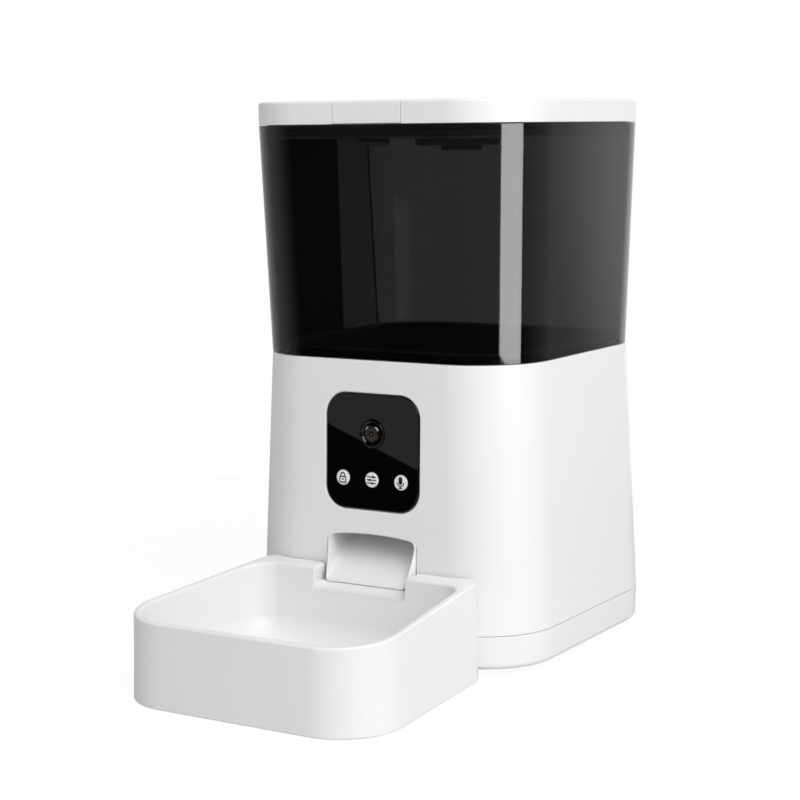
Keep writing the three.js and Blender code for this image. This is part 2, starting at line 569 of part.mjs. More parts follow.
function makePanel() {
  const plate = prismY(panelOutline(0), 0, panel.thickness);
  const cameraHole = rodAlongY(lens.bezel + gap, -overrun, panel.thickness + overrun, 0, lens.rise);
  const buttonHoles = buttonXs.map((x) =>
    rodAlongY(button.radius + gap, -overrun, panel.thickness + overrun, x, -button.drop));
  add('front_panel', cut(plate, cameraHole, ...buttonHoles), glossBlack, face);

  const bezel = cut(
    rodAlongY(lens.bezel, -lens.bezelProud, lens.seat - gap, 0, lens.rise),
    rodAlongY(lens.radius + gap, -lens.bezelProud - overrun, lens.seat + overrun, 0, lens.rise));
  add('camera_bezel', bezel, glossBlack, face);
  const glass = join(
    rodAlongY(lens.radius, 0, lens.seat - gap, 0, lens.rise),
    rodAlongY(lens.radius * Math.SQRT1_2, -lens.dome, 0, 0, lens.rise, rodSides, lens.radius));
  add('camera_lens', glass, lensGlass, face);
  const barrel = join(
    rodAlongY(lens.barrel, lens.seat, lens.seat + lens.depth, 0, lens.rise),
    block([-lens.bezel, lens.bezel], [lens.seat + lens.depth / 2, lens.seat + lens.depth],
      [lens.rise - lens.bezel, lens.rise + lens.bezel]));
  add('camera_barrel', barrel, blackPlastic, face);

  const holesFor = (place, rise, front, thickness) => [-1, 1].map((side) =>
    rodAlongY(cameraBoard.pin + gap, front - overrun, front + thickness + overrun, side * place, rise,
      fineSides));
  const cameraPlate = cut(
    block([-cameraBoard.half, cameraBoard.half], [cameraBoardFront, cameraBoardFront + cameraBoard.thickness],
      [lens.rise - cameraBoard.halfHeight, lens.rise + cameraBoard.halfHeight]),
    ...holesFor(cameraBoard.postPlace, lens.rise, cameraBoardFront, cameraBoard.thickness));
  add('camera_board', cameraPlate, boardGreen, face);
  const buttonPlate = cut(
    block([-buttonBoard.half, buttonBoard.half], [boardFront, boardFront + buttonBoard.thickness],
      [-button.drop - buttonBoard.halfHeight, -button.drop + buttonBoard.halfHeight]),
    ...holesFor(buttonBoard.postPlace, -button.drop, boardFront, buttonBoard.thickness));
  const switches = buttonXs.map((x) => block(
    [x - buttonBoard.switchHalf, x + buttonBoard.switchHalf],
    [boardFront - buttonBoard.switchHeight, boardFront + buttonBoard.thickness / 2],
    [-button.drop - buttonBoard.switchHalf, -button.drop + buttonBoard.switchHalf]));
  add('button_board', join(buttonPlate, ...switches), boardGreen, face);

  ['button_lock', 'button_set', 'button_talk'].forEach((name, i) => {
    const x = buttonXs[i];
    const flangeFront = wallBack + gap;
    const flangeBack = flangeFront + button.flangeHeight;
    add(name, join(
      rodAlongY(button.radius, -button.proud, flangeFront + button.flangeHeight / 2, x, -button.drop),
      rodAlongY(button.radius + button.flange, flangeFront, flangeBack, x, -button.drop),
      rodAlongY(button.nub, flangeFront, flangeBack + button.nubHeight, x, -button.drop, fineSides)),
    whitePlastic, face);
  });
}

// Gear places in plan, and the turns that put a tooth of one in a gap of the next
const pitchRadius = (count) => count * gear.module / 2;
const idlerReach = pitchRadius(teeth.output) + pitchRadius(teeth.idlerSmall);
const idlerPlace = [idlerReach * Math.cos(idlerTurn), idlerReach * Math.sin(idlerTurn)];
const pinionReach = pitchRadius(teeth.idlerBig) + pitchRadius(teeth.pinion);
const pinionPlace = [idlerPlace[0] + pinionReach * Math.cos(pinionTurn),
  idlerPlace[1] + pinionReach * Math.sin(pinionTurn)];
const coverBottom = wellFloorBottom - gearbox.drop - gearbox.cover;
const coverTop = coverBottom + gearbox.cover;
const caseTop = coverBottom - gap;
const upperGearTop = caseTop - gearbox.room;
const upperGearBottom = upperGearTop - gear.face;
const lowerGearTop = upperGearBottom - gearbox.level;
const lowerGearBottom = lowerGearTop - gear.face;
const caseFloorTop = lowerGearBottom - gearbox.room;
const caseBottom = caseFloorTop - gearbox.floor;
const tipRadius = (count) => pitchRadius(count) + gear.tip * gear.module;
const outputTip = tipRadius(teeth.output) + gearbox.room;
const idlerTip = tipRadius(teeth.idlerBig) + gearbox.room;
const gearboxScrewPlaces = [
  [outputTip + gearboxScrew.column, idlerPlace[1] / 2],
  [idlerPlace[0] / 2, idlerPlace[1] + idlerTip + gearboxScrew.column],
];
const caseSpan = {
  left: idlerPlace[0] - idlerTip - gearbox.wall,
  right: outputTip + 2 * gearboxScrew.column + gearbox.wall / 2,
  front: -outputTip - gearbox.wall,
  back: idlerPlace[1] + idlerTip + 2 * gearboxScrew.column + gearbox.wall / 2,
};

function gearOutline(count, turn) {
  const root = pitchRadius(count) - gear.clear * gear.module;
  const tip = tipRadius(count);
  const rootAngle = gear.rootTooth * gear.module / 2 / root;
  const tipAngle = gear.tipTooth * gear.module / 2 / tip;
  return Array.from({ length: count }, (_, k) => turn + 2 * Math.PI * k / count).flatMap((middle) =>
    [[root, -rootAngle], [tip, -tipAngle], [tip, tipAngle], [root, rootAngle]].map(([radius, side]) =>
      [radius * Math.cos(middle + side), radius * Math.sin(middle + side)]));
}

function caseOutline(inset) {
  const { left, right, front, back } = caseSpan;
  const corner = gearbox.corner - inset;
  return roundedPolygon([[left + inset, front + inset, corner], [right - inset, front + inset, corner],
    [right - inset, back - inset, corner], [left + inset, back - inset, corner]]);
}

function makeDrive() {
  const [ix, iy] = idlerPlace;
  const [px, py] = pinionPlace;
  const halfTooth = (count) => Math.PI / count;
  const outputTurn = idlerTurn;
  const smallTurn = idlerTurn + Math.PI + halfTooth(teeth.idlerSmall);
  const pinionGearTurn = pinionTurn + Math.PI + halfTooth(teeth.pinion);

  const outputGear = cut(
    join(prism(gearOutline(teeth.output, outputTurn), upperGearBottom, upperGearTop),
      rod(shaft.radius + gearbox.hub + gap, upperGearBottom - gearbox.level, upperGearTop)),
    rod(shaft.radius + gap, upperGearBottom - gearbox.level - overrun, upperGearTop + overrun));
  add('output_gear', outputGear, gearPlastic);
  const dogBottom = wellFloorTop + shaft.bushFlangeHeight + gap;
  const axle = join(
    rod(shaft.radius, caseFloorTop - gearbox.floor / 2, dogBottom + overrun, 0, 0),
    rod(shaft.dog, dogBottom, dogBottom + shaft.dogLength, 0, 0, 6));
  add('drive_shaft', axle, steel);
  const bush = cut(
    join(rod(shaft.radius + play + shaft.bushWall, wellFloorBottom, wellFloorTop + shaft.bushFlangeHeight / 2),
      rod(shaft.radius + play + shaft.bushWall + shaft.bushFlange, wellFloorTop + gap / 2,
        wellFloorTop + shaft.bushFlangeHeight)),
    rod(shaft.radius + gap, wellFloorBottom - overrun, wellFloorTop + overrun));
  add('shaft_bush', bush, gearPlastic);

  const idler = cut(
    join(prism(gearOutline(teeth.idlerSmall, smallTurn), lowerGearTop - gap, upperGearTop),
      prism(gearOutline(teeth.idlerBig, pinionTurn), lowerGearBottom, lowerGearTop)).translate(ix, iy, 0),
    rod(gearbox.pin + gap, lowerGearBottom - overrun, upperGearTop + overrun, ix, iy, fineSides));
  add('idler_gear', idler, gearPlastic);
  add('idler_pin', rod(gearbox.pin, caseFloorTop - gearbox.floor / 2, caseTop + gearbox.cover / 2, ix, iy,
    fineSides), steel);
  const pinion = cut(
    prism(gearOutline(teeth.pinion, pinionGearTurn), lowerGearBottom, lowerGearTop).translate(px, py, 0),
    rod(motor.shaft + gap, lowerGearBottom - overrun, lowerGearTop + overrun, px, py, fineSides));
  add('motor_pinion', pinion, gearPlastic);
  const canTop = caseBottom - gap;
  const canBottom = canTop - motor.length;
  const can = join(
    rod(motor.radius, canBottom, canTop, px, py),
    rod(motor.endBoss, canBottom - motor.endBossHeight, canTop, px, py, fineSides));
  const flats = [-1, 1].map((side) => {
    const x = either(side, motor.radius - motor.flat, motor.radius + overrun).map((v) => px + v);
    return block(x, [py - motor.radius, py + motor.radius], [canBottom - overrun, canTop + overrun]);
  });
  const shaftFoot = caseBottom - motor.shaftBury;
  const shaftBore = rod(motor.shaft + gap, shaftFoot - gap, caseBottom + overrun, px, py, fineSides);
  add('motor', cut(can, ...flats, shaftBore), motorSteel);
  add('motor_shaft', rod(motor.shaft, shaftFoot, lowerGearTop, px, py, fineSides), steel);

  const columns = gearboxScrewPlaces.map(([x, y]) =>
    rod(gearboxScrew.column, caseFloorTop - gearbox.floor / 2, caseTop, x, y, fineSides));
  const pinBoss = rod(gearbox.pin + gap + gearbox.hub, caseFloorTop - gearbox.floor / 2,
    lowerGearBottom - gap, ix, iy, fineSides);
  const footBoss = rod(shaft.radius + gap + gearbox.hub, caseFloorTop - gearbox.floor / 2,
    upperGearBottom - gearbox.level - gap);
  const caseBody = join(
    cut(prism(caseOutline(0), caseBottom, caseTop), prism(caseOutline(gearbox.wall), caseFloorTop,
      caseTop + overrun)),
    ...columns, pinBoss, footBoss);
  const bores = [
    rod(gearbox.pin + gap, caseFloorTop - gearbox.floor / 2 - gap, caseTop, ix, iy, fineSides),
    rod(shaft.radius + gap, caseFloorTop - gearbox.floor / 2 - gap, caseTop),
    rod(motor.shaft + gap, caseBottom - overrun, caseFloorTop + overrun, px, py, fineSides),
    ...gearboxScrewPlaces.map(([x, y]) => screwHole(x, y, caseBottom - overrun, caseTop + overrun)),
  ];
  add('gearbox_case', cut(caseBody, ...bores), blackPlastic);
  const cover = cut(prism(caseOutline(0), coverBottom, coverTop),
    rod(gearbox.pin + gap, coverBottom - overrun, coverTop - gearbox.hub / 2, ix, iy, fineSides),
    rod(shaft.radius + play, coverBottom - overrun, coverTop + overrun),
    ...gearboxScrewPlaces.map(([x, y]) => screwHole(x, y, coverBottom - overrun, coverTop + overrun)));
  add('gearbox_cover', cover, blackPlastic);
  gearboxScrewPlaces.forEach(([x, y], i) => {
    add(`gearbox_screw_${i + 1}`, screwUp(x, y, caseBottom - screw.headHeight - gap,
      wellFloorBottom - caseBottom - gap), steel);
  });
}

function makeBatteries(trayOuter) {
  const frontWall = bayFront + contact.thickness + contact.bump + 2 * gap;
  cellXs.forEach((x, i) => {
    const flipped = i % 2 === 1;
    const y0 = frontWall + (flipped ? cell.nubHeight : 0);
    const y1 = y0 + cell.length;
    const nubEnd = flipped ? [y0 - cell.nubHeight, y0 + gap] : [y1 - gap, y1 + cell.nubHeight];
    add(`battery_${i + 1}`, join(rodAlongY(cell.radius, y0, y1, x, cellCentreZ),
      rodAlongY(cell.nub, nubEnd[0], nubEnd[1], x, cellCentreZ, fineSides)), cellWrap);
  });
  const contactPlate = (front, inward) => {
    const plateY = [front, front + contact.thickness];
    const bumpY = inward > 0 ? [front, front + contact.thickness + contact.bump]
      : [front - contact.bump, front + contact.thickness];
    const bumps = cellXs.map((x) =>
      rodAlongY(contact.bumpRadius, bumpY[0], bumpY[1], x, cellCentreZ, fineSides));
    const plateHalf = bayHalf - cell.radius + contact.bumpRadius;
    return join(block([-plateHalf, plateHalf], plateY,
      [cellCentreZ - contact.halfHeight, cellCentreZ + contact.halfHeight]), ...bumps);
  };
  add('contact_front', contactPlate(bayFront + gap, 1), steel);
  add('contact_rear', contactPlate(bayRear - gap - contact.thickness, -1), steel);

  const outer = block([-bayHalf - box.wall, bayHalf + box.wall], [bayFront - box.wall, bayRear + box.wall],
    [boxFloor, bayTop + box.wall]);
  const inner = block([-bayHalf, bayHalf], [bayFront, bayRear], [boxFloor - overrun, bayTop]);
  const legs = [-1, 1].map((side) => {
    const inside = doorTongueHalf + gap;
    return block(either(side, inside, inside + box.leg), [bayFront, bayRear],
      [trayFloorTop + gap, boxFloor + box.wall]);
  });
  const shelves = [-1, 1].map((side) => {
    const x = either(side, bayHalf, doorTongueHalf + gap + box.leg);
    return block(x, [bayFront, bayRear], [boxFloor, boxFloor + box.wall]);
  });
  add('battery_box', join(cut(outer, inner), ...legs, ...shelves), blackPlastic);

  const doorSpan = [bayFront, trayHalf - tray.wall];
  const plate = block([-bayHalf, bayHalf], doorSpan, [trayBottom, trayBottom + door.plate]);
  const sides = [-1, 1].flatMap((side) => {
    const web = either(side, bayHalf - door.side, bayHalf);
    const wing = either(side, bayHalf - door.side, doorTongueHalf);
    return [block(web, doorSpan, [trayBottom, doorTop]),
      block(wing, doorSpan, [trayFloorTop + gap, doorTop])];
  });
  const end = meet(trayOuter, block([-doorTongueHalf, doorTongueHalf],
    [trayHalf - tray.wall - door.end + gap, trayHalf + overrun], [trayBottom - overrun, doorTop]));
  const grips = Array.from({ length: door.ridges }, (_, i) => {
    const y = trayHalf - tray.wall - door.end - (i + 0.5) * door.pitch;
    return block([-bayHalf / door.ridges, bayHalf / door.ridges], [y - door.grip, y],
      [trayBottom - overrun, trayBottom + door.grip / 2]);
  });
  add('battery_door', cut(join(plate, ...sides, end), ...grips), whitePlastic);
}

function makeElectronics() {
  const front = -(trayHalf - tray.wall - mainBoard.front);
  const low = trayFloorTop + mainBoard.lift;
  const top = low + mainBoard.thickness;
  const at = (xShare, yShare) => [mainBoard.half * xShare, front + mainBoard.depth * yShare];
  const lump = ([x, y], halfX, halfY, height) =>
    block([x - halfX, x + halfX], [y - halfY, y + halfY], [low + mainBoard.thickness / 2, top + height]);
  const chip = mainBoard.inset;
  const board = join(
    cut(block([-mainBoard.half, mainBoard.half], [front, front + mainBoard.depth], [low, top]),
      ...boardCorners().map(([x, y]) =>
        rod(mainBoard.pin + gap, low - overrun, top + overrun, x, y, fineSides))),
    lump(at(-0.35, 0.5), 2 * chip, 1.6 * chip, mainBoard.post),
    lump(at(0.2, 0.4), 1.2 * chip, 1.2 * chip, mainBoard.thickness),
    lump(at(0.62, 0.7), chip / 2, 1.8 * chip, 2 * mainBoard.post),
    rod(chip, top - mainBoard.thickness / 2, top + 2 * chip, ...at(0.6, 0.25), fineSides));
  add('main_board', board, boardGreen);

  const place = [-speaker.placeX, -speaker.placeY];
  const speakerLow = trayFloorTop + gap;
  const speakerTop = trayFloorTop + speaker.height;
  const speakerBody = join(
    rod(speaker.radius, speakerLow, speakerLow + speaker.rim, ...place),
    rod(speaker.radius, speakerLow + speaker.rim, speakerTop - speaker.rim, ...place, rodSides,
      speaker.magnet),
    rod(speaker.magnet, speakerLow + speaker.rim / 2, speakerTop, ...place));
  const cone = rod(speaker.radius - speaker.rim, speakerLow - overrun, trayFloorTop + speaker.height / 2,
    ...place, rodSides, speaker.magnet / 2);
  add('speaker', cut(speakerBody, cone), blackPlastic);

  const wallInside = shellHalf(inlet.rise + inlet.height / 2) - shell.wall;
  const back = wallInside - gap;
  const noseEnd = wallInside + shell.wall / 2;
  const socket = cut(
    join(block([inlet.placeX - inlet.half, inlet.placeX + inlet.half], [back - inlet.depth, back],
      [inlet.rise - inlet.height / 2, inlet.rise + inlet.height / 2]),
    rodAlongY(inlet.nose, back - gap, noseEnd, inlet.placeX, inlet.rise)),
    rodAlongY(inlet.bore, back - inlet.boreDepth, noseEnd + overrun, inlet.placeX, inlet.rise));
  const pin = rodAlongY(inlet.pin, back - inlet.boreDepth - overrun, noseEnd - shell.wall / 2, inlet.placeX,
    inlet.rise, fineSides);
  add('power_inlet', join(socket, pin), blackPlastic);
}

function makeTank() {
  const wallRing = cut(
    loft([{ z: tankBottom, outline: squarePlan(tankHalf(tankBottom)) }, { z: tankTop,
      outline: squarePlan(tankTopHalf) }]),
    loft([{ z: tankBottom - overrun, outline: squarePlan(tankHalf(tankBottom - overrun), tank.wall) },
      { z: tankTop + overrun, outline: squarePlan(tankHalf(tankTop + overrun), tank.wall) }]));
  const level = (z, inset) => ({ z, outline: squarePlan(tankHalf(tankBottom), inset) });
  const flange = cut(loft([level(tankBottom, tank.wall / 2), level(flangeTop, tank.wall / 2)]),
    loft([level(tankBottom - overrun, tank.wall + tank.flange), level(flangeTop + overrun,
      tank.wall + tank.flange)]));
  const skirtOutside = shell.wall + play;
  const skirt = cut(
    loft([level(deckTop + gap, skirtOutside), level(tankBottom + tank.flangeThickness / 2, skirtOutside)]),
    loft([level(deckTop - overrun, skirtOutside + tank.skirtWall), level(flangeTop + overrun,
      skirtOutside + tank.skirtWall)]));
  const holes = twoCorners.map(([sx, sy]) =>
    screwHole(sx * tankScrewPlace, sy * tankScrewPlace, tankBottom - overrun, flangeTop + overrun));
  const ribFace = tankHalf(ribTop) - tank.wall;
  const rib = block([-catchRib.half, catchRib.half], [-ribFace - tank.wall / 2, -ribFace + catchRib.depth],
    [ribTop - catchRib.height, ribTop]);
  add('hopper_tank', cut(join(wallRing, flange, skirt, rib), ...holes), smokedPlastic);
  twoCorners.forEach(([sx, sy], i) => {
    add(`tank_screw_${i + 1}`, screwUp(sx * tankScrewPlace, sy * tankScrewPlace,
      tankBottom - screw.headHeight - gap, tankScrew.length + gap), steel);
  });
}

function makeMetering() {
  const half = tankHalf(tankBottom);
  const rimOutline = squarePlan(half, tank.wall + play);
  const throughFlange = squarePlan(half, tank.wall + tank.flange + gap);
  const dish = loft([
    { z: throatTop - funnel.thickness, outline: circlePlan(cupOuter) },
    { z: tankBottom - gap, outline: throughFlange },
    { z: rimBottom, outline: throughFlange },
    { z: rimBottom, outline: rimOutline },
    { z: rimTop, outline: rimOutline },
  ]);
  const slope = (rimTop - throatTop) / (rimTop + overrun - throatTop);
  const wide = squarePlan(half, tank.wall + tank.flange + funnel.thickness)
    .map(([x, y], i) => {
      const [x0, y0] = circlePlan(cupRadius + cup.step)[i];
      return [x0 + (x - x0) / slope, y0 + (y - y0) / slope];
    });
  const top = cut(dish, loft([
    { z: throatTop, outline: circlePlan(cupRadius + cup.step) },
    { z: rimTop + overrun, outline: wide },
  ]));
  const cupBody = rod(cupOuter, cupFloorBottom, throatTop - funnel.thickness / 2, 0, 0, 2 * rodSides);
  const bore = rod(cupRadius, cupFloorTop, stepTop + overrun, 0, 0, 2 * rodSides);
  const mouth = rod(cupRadius + cup.step, stepTop, throatTop + overrun, 0, 0, 2 * rodSides);
  const outlet = outletCutter(cupFloorBottom - overrun, cupFloorTop + overrun);
  const pivot = rod(rotor.pivot + play, cupFloorBottom - overrun, cupFloorTop + overrun);
  const screwHoles = twoCorners.map(([sx, sy]) => screwHole(sx * tankScrewPlace, sy * tankScrewPlace,
    tankBottom, tankBottom + tankScrew.length + gap));
  add('metering_base', cut(join(top, cupBody), bore, mouth, outlet, pivot, ...screwHoles), blackPlastic);

  const opening = cut(rod(cupRadius - baffle.overlap, baffleBottom - overrun, baffleTop + overrun, 0, 0,
    2 * rodSides), block([-cupOuter, cupOuter], [-cupOuter, baffle.shelf],
    [baffleBottom - 2 * overrun, baffleTop + 2 * overrun]));
  add('baffle', cut(
    rod(cupRadius + cup.step - play, baffleBottom, baffleTop, 0, 0, 2 * rodSides),
    rod(rotor.hub + baffle.hubRoom, baffleBottom - overrun, baffleTop + overrun), opening), blackPlastic);
}

function makeRotor() {
  const socketTop = wellFloorTop + shaft.bushFlangeHeight + 2 * gap + shaft.dogLength;
  const vanes = Array.from({ length: rotor.vanes }, (_, i) =>
    block([0, rotor.radius], [-rotor.vane / 2, rotor.vane / 2], [rotorBottom, rotorTop])
      .rotateZ(2 * Math.PI * i / rotor.vanes));
  const hubTop = baffleTop + gap;
  const body = cut(
    join(rod(rotor.hub, rotorBottom, hubTop), rod(rotor.pivot, cupFloorBottom, rotorBottom + overrun),
      ...vanes),
    rod(shaft.dog + play, cupFloorBottom - overrun, socketTop, 0, 0, 6));
  const peg = rod(stirrer.peg, hubTop - overrun, hubTop + stirrer.height / 2, 0, 0, fineSides);
  add('rotor', join(body, peg), gearPlastic);
  const arms = block([-stirrer.arm, stirrer.arm], [-stirrer.armWidth / 2, stirrer.armWidth / 2],
    [hubTop + gap, hubTop + gap + stirrer.armHeight]);
  add('stirrer', cut(
    join(rod(stirrer.radius, hubTop + gap, hubTop + gap + stirrer.height, 0, 0, rodSides, stirrer.peg), arms),
    rod(stirrer.peg + gap, hubTop - overrun, hubTop + stirrer.height / 2 + gap, 0, 0, fineSides)), gearPlastic);
}

function makeLid() {
  const half = tankTopHalf;
  const plate = (z, inset) => ({ z, outline: squarePlan(half, inset) });
  const edge = lid.edgeRound;
  const bend = edge * (1 - Math.SQRT1_2);
  const outer = loft([plate(lidBottom, 0), plate(lidTop - edge, 0), plate(lidTop - bend, bend),
    plate(lidTop, edge)]);
  const inner = loft([plate(lidBottom - overrun, lid.wall), plate(lidUnder, lid.wall)]);
  const plugHalf = tankHalf(plugBottom - lid.keeper);
  const sealOutside = tank.wall + gap;
  const plugOutside = sealOutside + seal.stand;
  const plugInside = plugOutside + lid.plugWall;
  const plugLevel = (z, inset) => ({ z, outline: squarePlan(plugHalf, inset) });
  const ring = (z0, z1, outside, inside) => cut(loft([plugLevel(z0, outside), plugLevel(z1, outside)]),
    loft([plugLevel(z0 - overrun, inside), plugLevel(z1 + overrun, inside)]));
  const plug = ring(plugBottom, lidUnder + lid.top / 2, plugOutside, plugInside);
  const keeper = ring(plugBottom - lid.keeper, plugBottom, sealOutside, plugInside);
  const front = -half;
  const tongueBack = front + latch.plate + latch.tongueReach;
  const legRoomBack = front + latch.plate + latch.leg + latch.travel + gap;
  const tongueTop = lidUnder - gap;
  const tongueLow = tongueTop - latch.tongue;
  const railLow = tongueLow - gap - latch.rail;
  const rails = [-1, 1].flatMap((side) => {
    const near = latch.tongueHalf + gap;
    const yRange = [legRoomBack, tongueBack];
    return [
      block(either(side, near, near + latch.rail), yRange, [railLow, lidUnder + lid.top / 2]),
      block(either(side, near - latch.railFoot, near + latch.rail), yRange, [railLow, railLow + latch.rail]),
    ];
  });
  const springCentreZ = tongueTop - spring.radius - spring.wire;
  const stopFront = tongueBack + spring.length + 2 * gap;
  const stop = block([-latch.hookHalf, latch.hookHalf], [stopFront, stopFront + latch.stop],
    [railLow, lidUnder + lid.top / 2]);
  const tabCut = block([-latch.half - latch.sideGap, latch.half + latch.sideGap],
    [front - overrun, front + lid.wall + overrun], [lidBottom - overrun, lidTop + overrun]);
  const legCut = block([-latch.half - latch.sideGap, latch.half + latch.sideGap],
    [front - overrun, legRoomBack], [lidUnder - gap, lidTop + overrun]);
  const slot = block([-latch.tongueHalf - gap, latch.tongueHalf + gap],
    [front, plugInside - plugHalf + overrun], [tongueLow - gap, lidTop]);
  const cupTop = lidUnder + lid.top / 2;
  const cupLow = lidUnder - desiccant.depth;
  const cupRing = cut(rod(desiccant.radius, cupLow, cupTop, 0, desiccant.placeY, 2 * rodSides),
    rod(desiccant.radius - desiccant.wall, cupLow - overrun, lidUnder, 0, desiccant.placeY, 2 * rodSides));
  const slots = Array.from({ length: desiccant.slots }, (_, i) =>
    block([0, desiccant.radius + overrun], [-desiccant.slotHalf, desiccant.slotHalf],
      [cupLow + desiccant.cap, lidUnder - desiccant.cap])
      .rotateZ(2 * Math.PI * (i + 0.5) / desiccant.slots).translate(0, desiccant.placeY, 0));
  add('lid', join(cut(join(cut(outer, inner), plug, keeper), tabCut, legCut, slot), ...rails, stop,
    cut(cupRing, ...slots)), whitePlastic);

  const sealLow = plugBottom + gap;
  add('lid_seal', ring(sealLow, sealLow + seal.height, sealOutside, plugOutside - gap), greyRubber);

  const capLow = cupLow - gap - desiccant.cap;
  const capTop = cupLow - gap;
  const cap = join(
    rod(desiccant.radius, capLow, capTop, 0, desiccant.placeY, 2 * rodSides),
    cut(rod(desiccant.radius - desiccant.wall - gap, capTop - overrun, capTop + desiccant.cap, 0,
      desiccant.placeY, 2 * rodSides),
    rod(desiccant.radius - 2 * desiccant.wall - gap, capTop - overrun, capTop + desiccant.cap + overrun, 0,
      desiccant.placeY, 2 * rodSides)),
    block([-desiccant.radius / 2, desiccant.radius / 2], [desiccant.placeY - desiccant.lug / 2,
      desiccant.placeY + desiccant.lug / 2], [capLow - desiccant.grip, capLow + desiccant.cap / 2]));
  add('desiccant_cap', cap, desiccantGrey);

  const tabX = [-latch.half, latch.half];
  const tongueX = [-latch.tongueHalf, latch.tongueHalf];
  const tongueFront = front + latch.plate / 2;
  const legBack = front + latch.plate + latch.leg;
  const tab = join(
    meet(loft([plate(lidBottom + gap, 0), plate(lidTop - edge, 0), plate(lidTop - bend, bend),
      plate(lidTop, edge)]),
    join(block(tabX, [front - overrun, front + latch.plate], [lidBottom, lidTop + overrun]),
      block(tabX, [front - overrun, legBack], [lidTop - latch.top, lidTop + overrun]))),
    block(tongueX, [tongueFront, tongueBack], [tongueLow, tongueTop]),
    block([-latch.hookHalf, latch.hookHalf], [tongueBack - spring.seat, tongueBack],
      [springCentreZ - spring.radius - spring.wire, tongueTop]),
    block(tongueX, [tongueFront, legBack - latch.leg / 2], [tongueLow, lidTop - latch.top / 2]));
  const hookY = plugInside - plugHalf + gap;
  const hookLow = ribTop - catchRib.height - gap - latch.hookNib;
  const nibFront = -(tankHalf(hookLow) - tank.wall - gap);
  const hook = join(
    block([-latch.hookHalf, latch.hookHalf], [hookY, hookY + latch.hookWall],
      [hookLow, tongueLow + latch.tongue / 2]),
    block([-latch.hookHalf, latch.hookHalf], [nibFront, hookY + latch.hookWall], [hookLow,
      hookLow + latch.hookNib]));
  add('latch_button', join(tab, hook), whitePlastic);

  class Coil extends THREE.Curve {
    getPoint(t, target = new THREE.Vector3()) {
      const angle = 2 * Math.PI * spring.turns * t;
      const run = spring.length - 2 * spring.wire;
      return target.set(spring.radius * Math.cos(angle), tongueBack + gap + spring.wire + run * t,
        springCentreZ + spring.radius * Math.sin(angle));
    }
  }
  const section = new THREE.Shape(arc(0, 0, spring.wire, 0, 2 * Math.PI, 5).slice(0, -1)
    .map(([u, v]) => new THREE.Vector2(u, v)));
  add('latch_spring', new THREE.ExtrudeGeometry(section, {
    steps: 8 * spring.turns, extrudePath: new Coil(), bevelEnabled: false,
  }), steel);
}

// The bowl's plan grown by a margin, and the plan of its inside, both before the body is cut out of it
const bowlFront = -(shell.bottomHalf + bowl.reach);
const bowlRear = -(shell.bottomHalf - bowl.rearInset);

function bowlPlan(grow) {
  return roundedPolygon([
    [bowl.frontHalf + grow, bowlFront - grow, bowl.frontCorner + grow],
    [bowl.rearHalf + grow, bowlRear, bowl.rearCorner],
    [-bowl.rearHalf - grow, bowlRear, bowl.rearCorner],
    [-bowl.frontHalf - grow, bowlFront - grow, bowl.frontCorner + grow],
  ]);
}

function cavityPlan(inset) {
  const rear = -(shell.bottomHalf + bowl.clear + bowl.rearWall) - inset;
  const side = bowl.wall + inset;
  return roundedPolygon([
    [bowl.frontHalf - side, bowlFront + side, bowl.frontCorner - bowl.wall],
    [bowl.rearHalf - side, rear, bowl.cavityCorner],
    [-bowl.rearHalf + side, rear, bowl.cavityCorner],
    [-bowl.frontHalf + side, bowlFront + side, bowl.frontCorner - bowl.wall],
  ]);
}

function makeBowl() {
  const high = bowl.rimBack + overrun;
  const outer = loft([
    { z: 0, outline: bowlPlan(bowl.draft - bowl.edgeRound / 2) },
    { z: bowl.edgeRound / 2, outline: bowlPlan(bowl.draft) },
    { z: high, outline: bowlPlan(0) },
  ]);
  const floorTop = bowl.underside + bowl.floor;
  const bends = Array.from({ length: edgeSteps + 1 }, (_, i) => {
    const angle = Math.PI / 2 * i / edgeSteps;
    return {
      z: floorTop + bowl.floorRound * (1 - Math.cos(angle)),
      outline: cavityPlan(bowl.floorRound * (1 - Math.sin(angle))),
    };
  });
  const cavity = loft([...bends, { z: high + overrun, outline: cavityPlan(0) }]);
  const hollow = meet(
    prism(bowlPlan(-bowl.skirt), -overrun, bowl.underside),
    block([-bowl.frontHalf, bowl.frontHalf], [bowlFront, -(shell.bottomHalf + bowl.clear + bowl.skirt)],
      [-overrun, bowl.underside]));
  const bodySpace = prism(squarePlan(shell.bottomHalf, -bowl.clear), -overrun, high + overrun);
  const rimSlope = (bowl.rimBack - bowl.rimFront) / bowl.reach;
  const rise = (y) => bowl.rimFront + rimSlope * (y - bowlFront);
  const past = bowlFront - 2 * bowl.draft;
  const above = prismX([[past, rise(past)], [0, rise(0)], [0, 2 * high], [past, 2 * high]],
    -2 * bowl.frontHalf, 2 * bowl.frontHalf);
  const notchLow = lipTop - chute.tip - gap;
  const notchFront = lipY - gap;
  const notchCut = prismX([[0, notchLow], [0, 2 * high], [notchFront - 2 * notch.rampRun, 2 * high],
    [notchFront - 2 * notch.rampRun, notchLow - notch.rampDrop], [notchFront - notch.rampRun,
      notchLow - notch.rampDrop], [notchFront, notchLow]], -notch.half, notch.half);
  const tab = block([-tongue.half, tongue.half],
    [-(shell.bottomHalf + bowl.clear + bowl.skirt), -(shell.bottomHalf - tongue.reach)],
    [tongue.lift, tongue.lift + tongue.thickness]);
  add('bowl', join(cut(outer, cavity, hollow, bodySpace, above, notchCut), tab), whitePlastic);
}

const trayOuter = makeTray();
makeFeetAndScrews();
makeShell();
makeDeck();
makeChute();
makePanel();
makeDrive();
makeBatteries(trayOuter);
makeElectronics();
makeTank();
makeMetering();
makeRotor();
makeLid();
makeBowl();

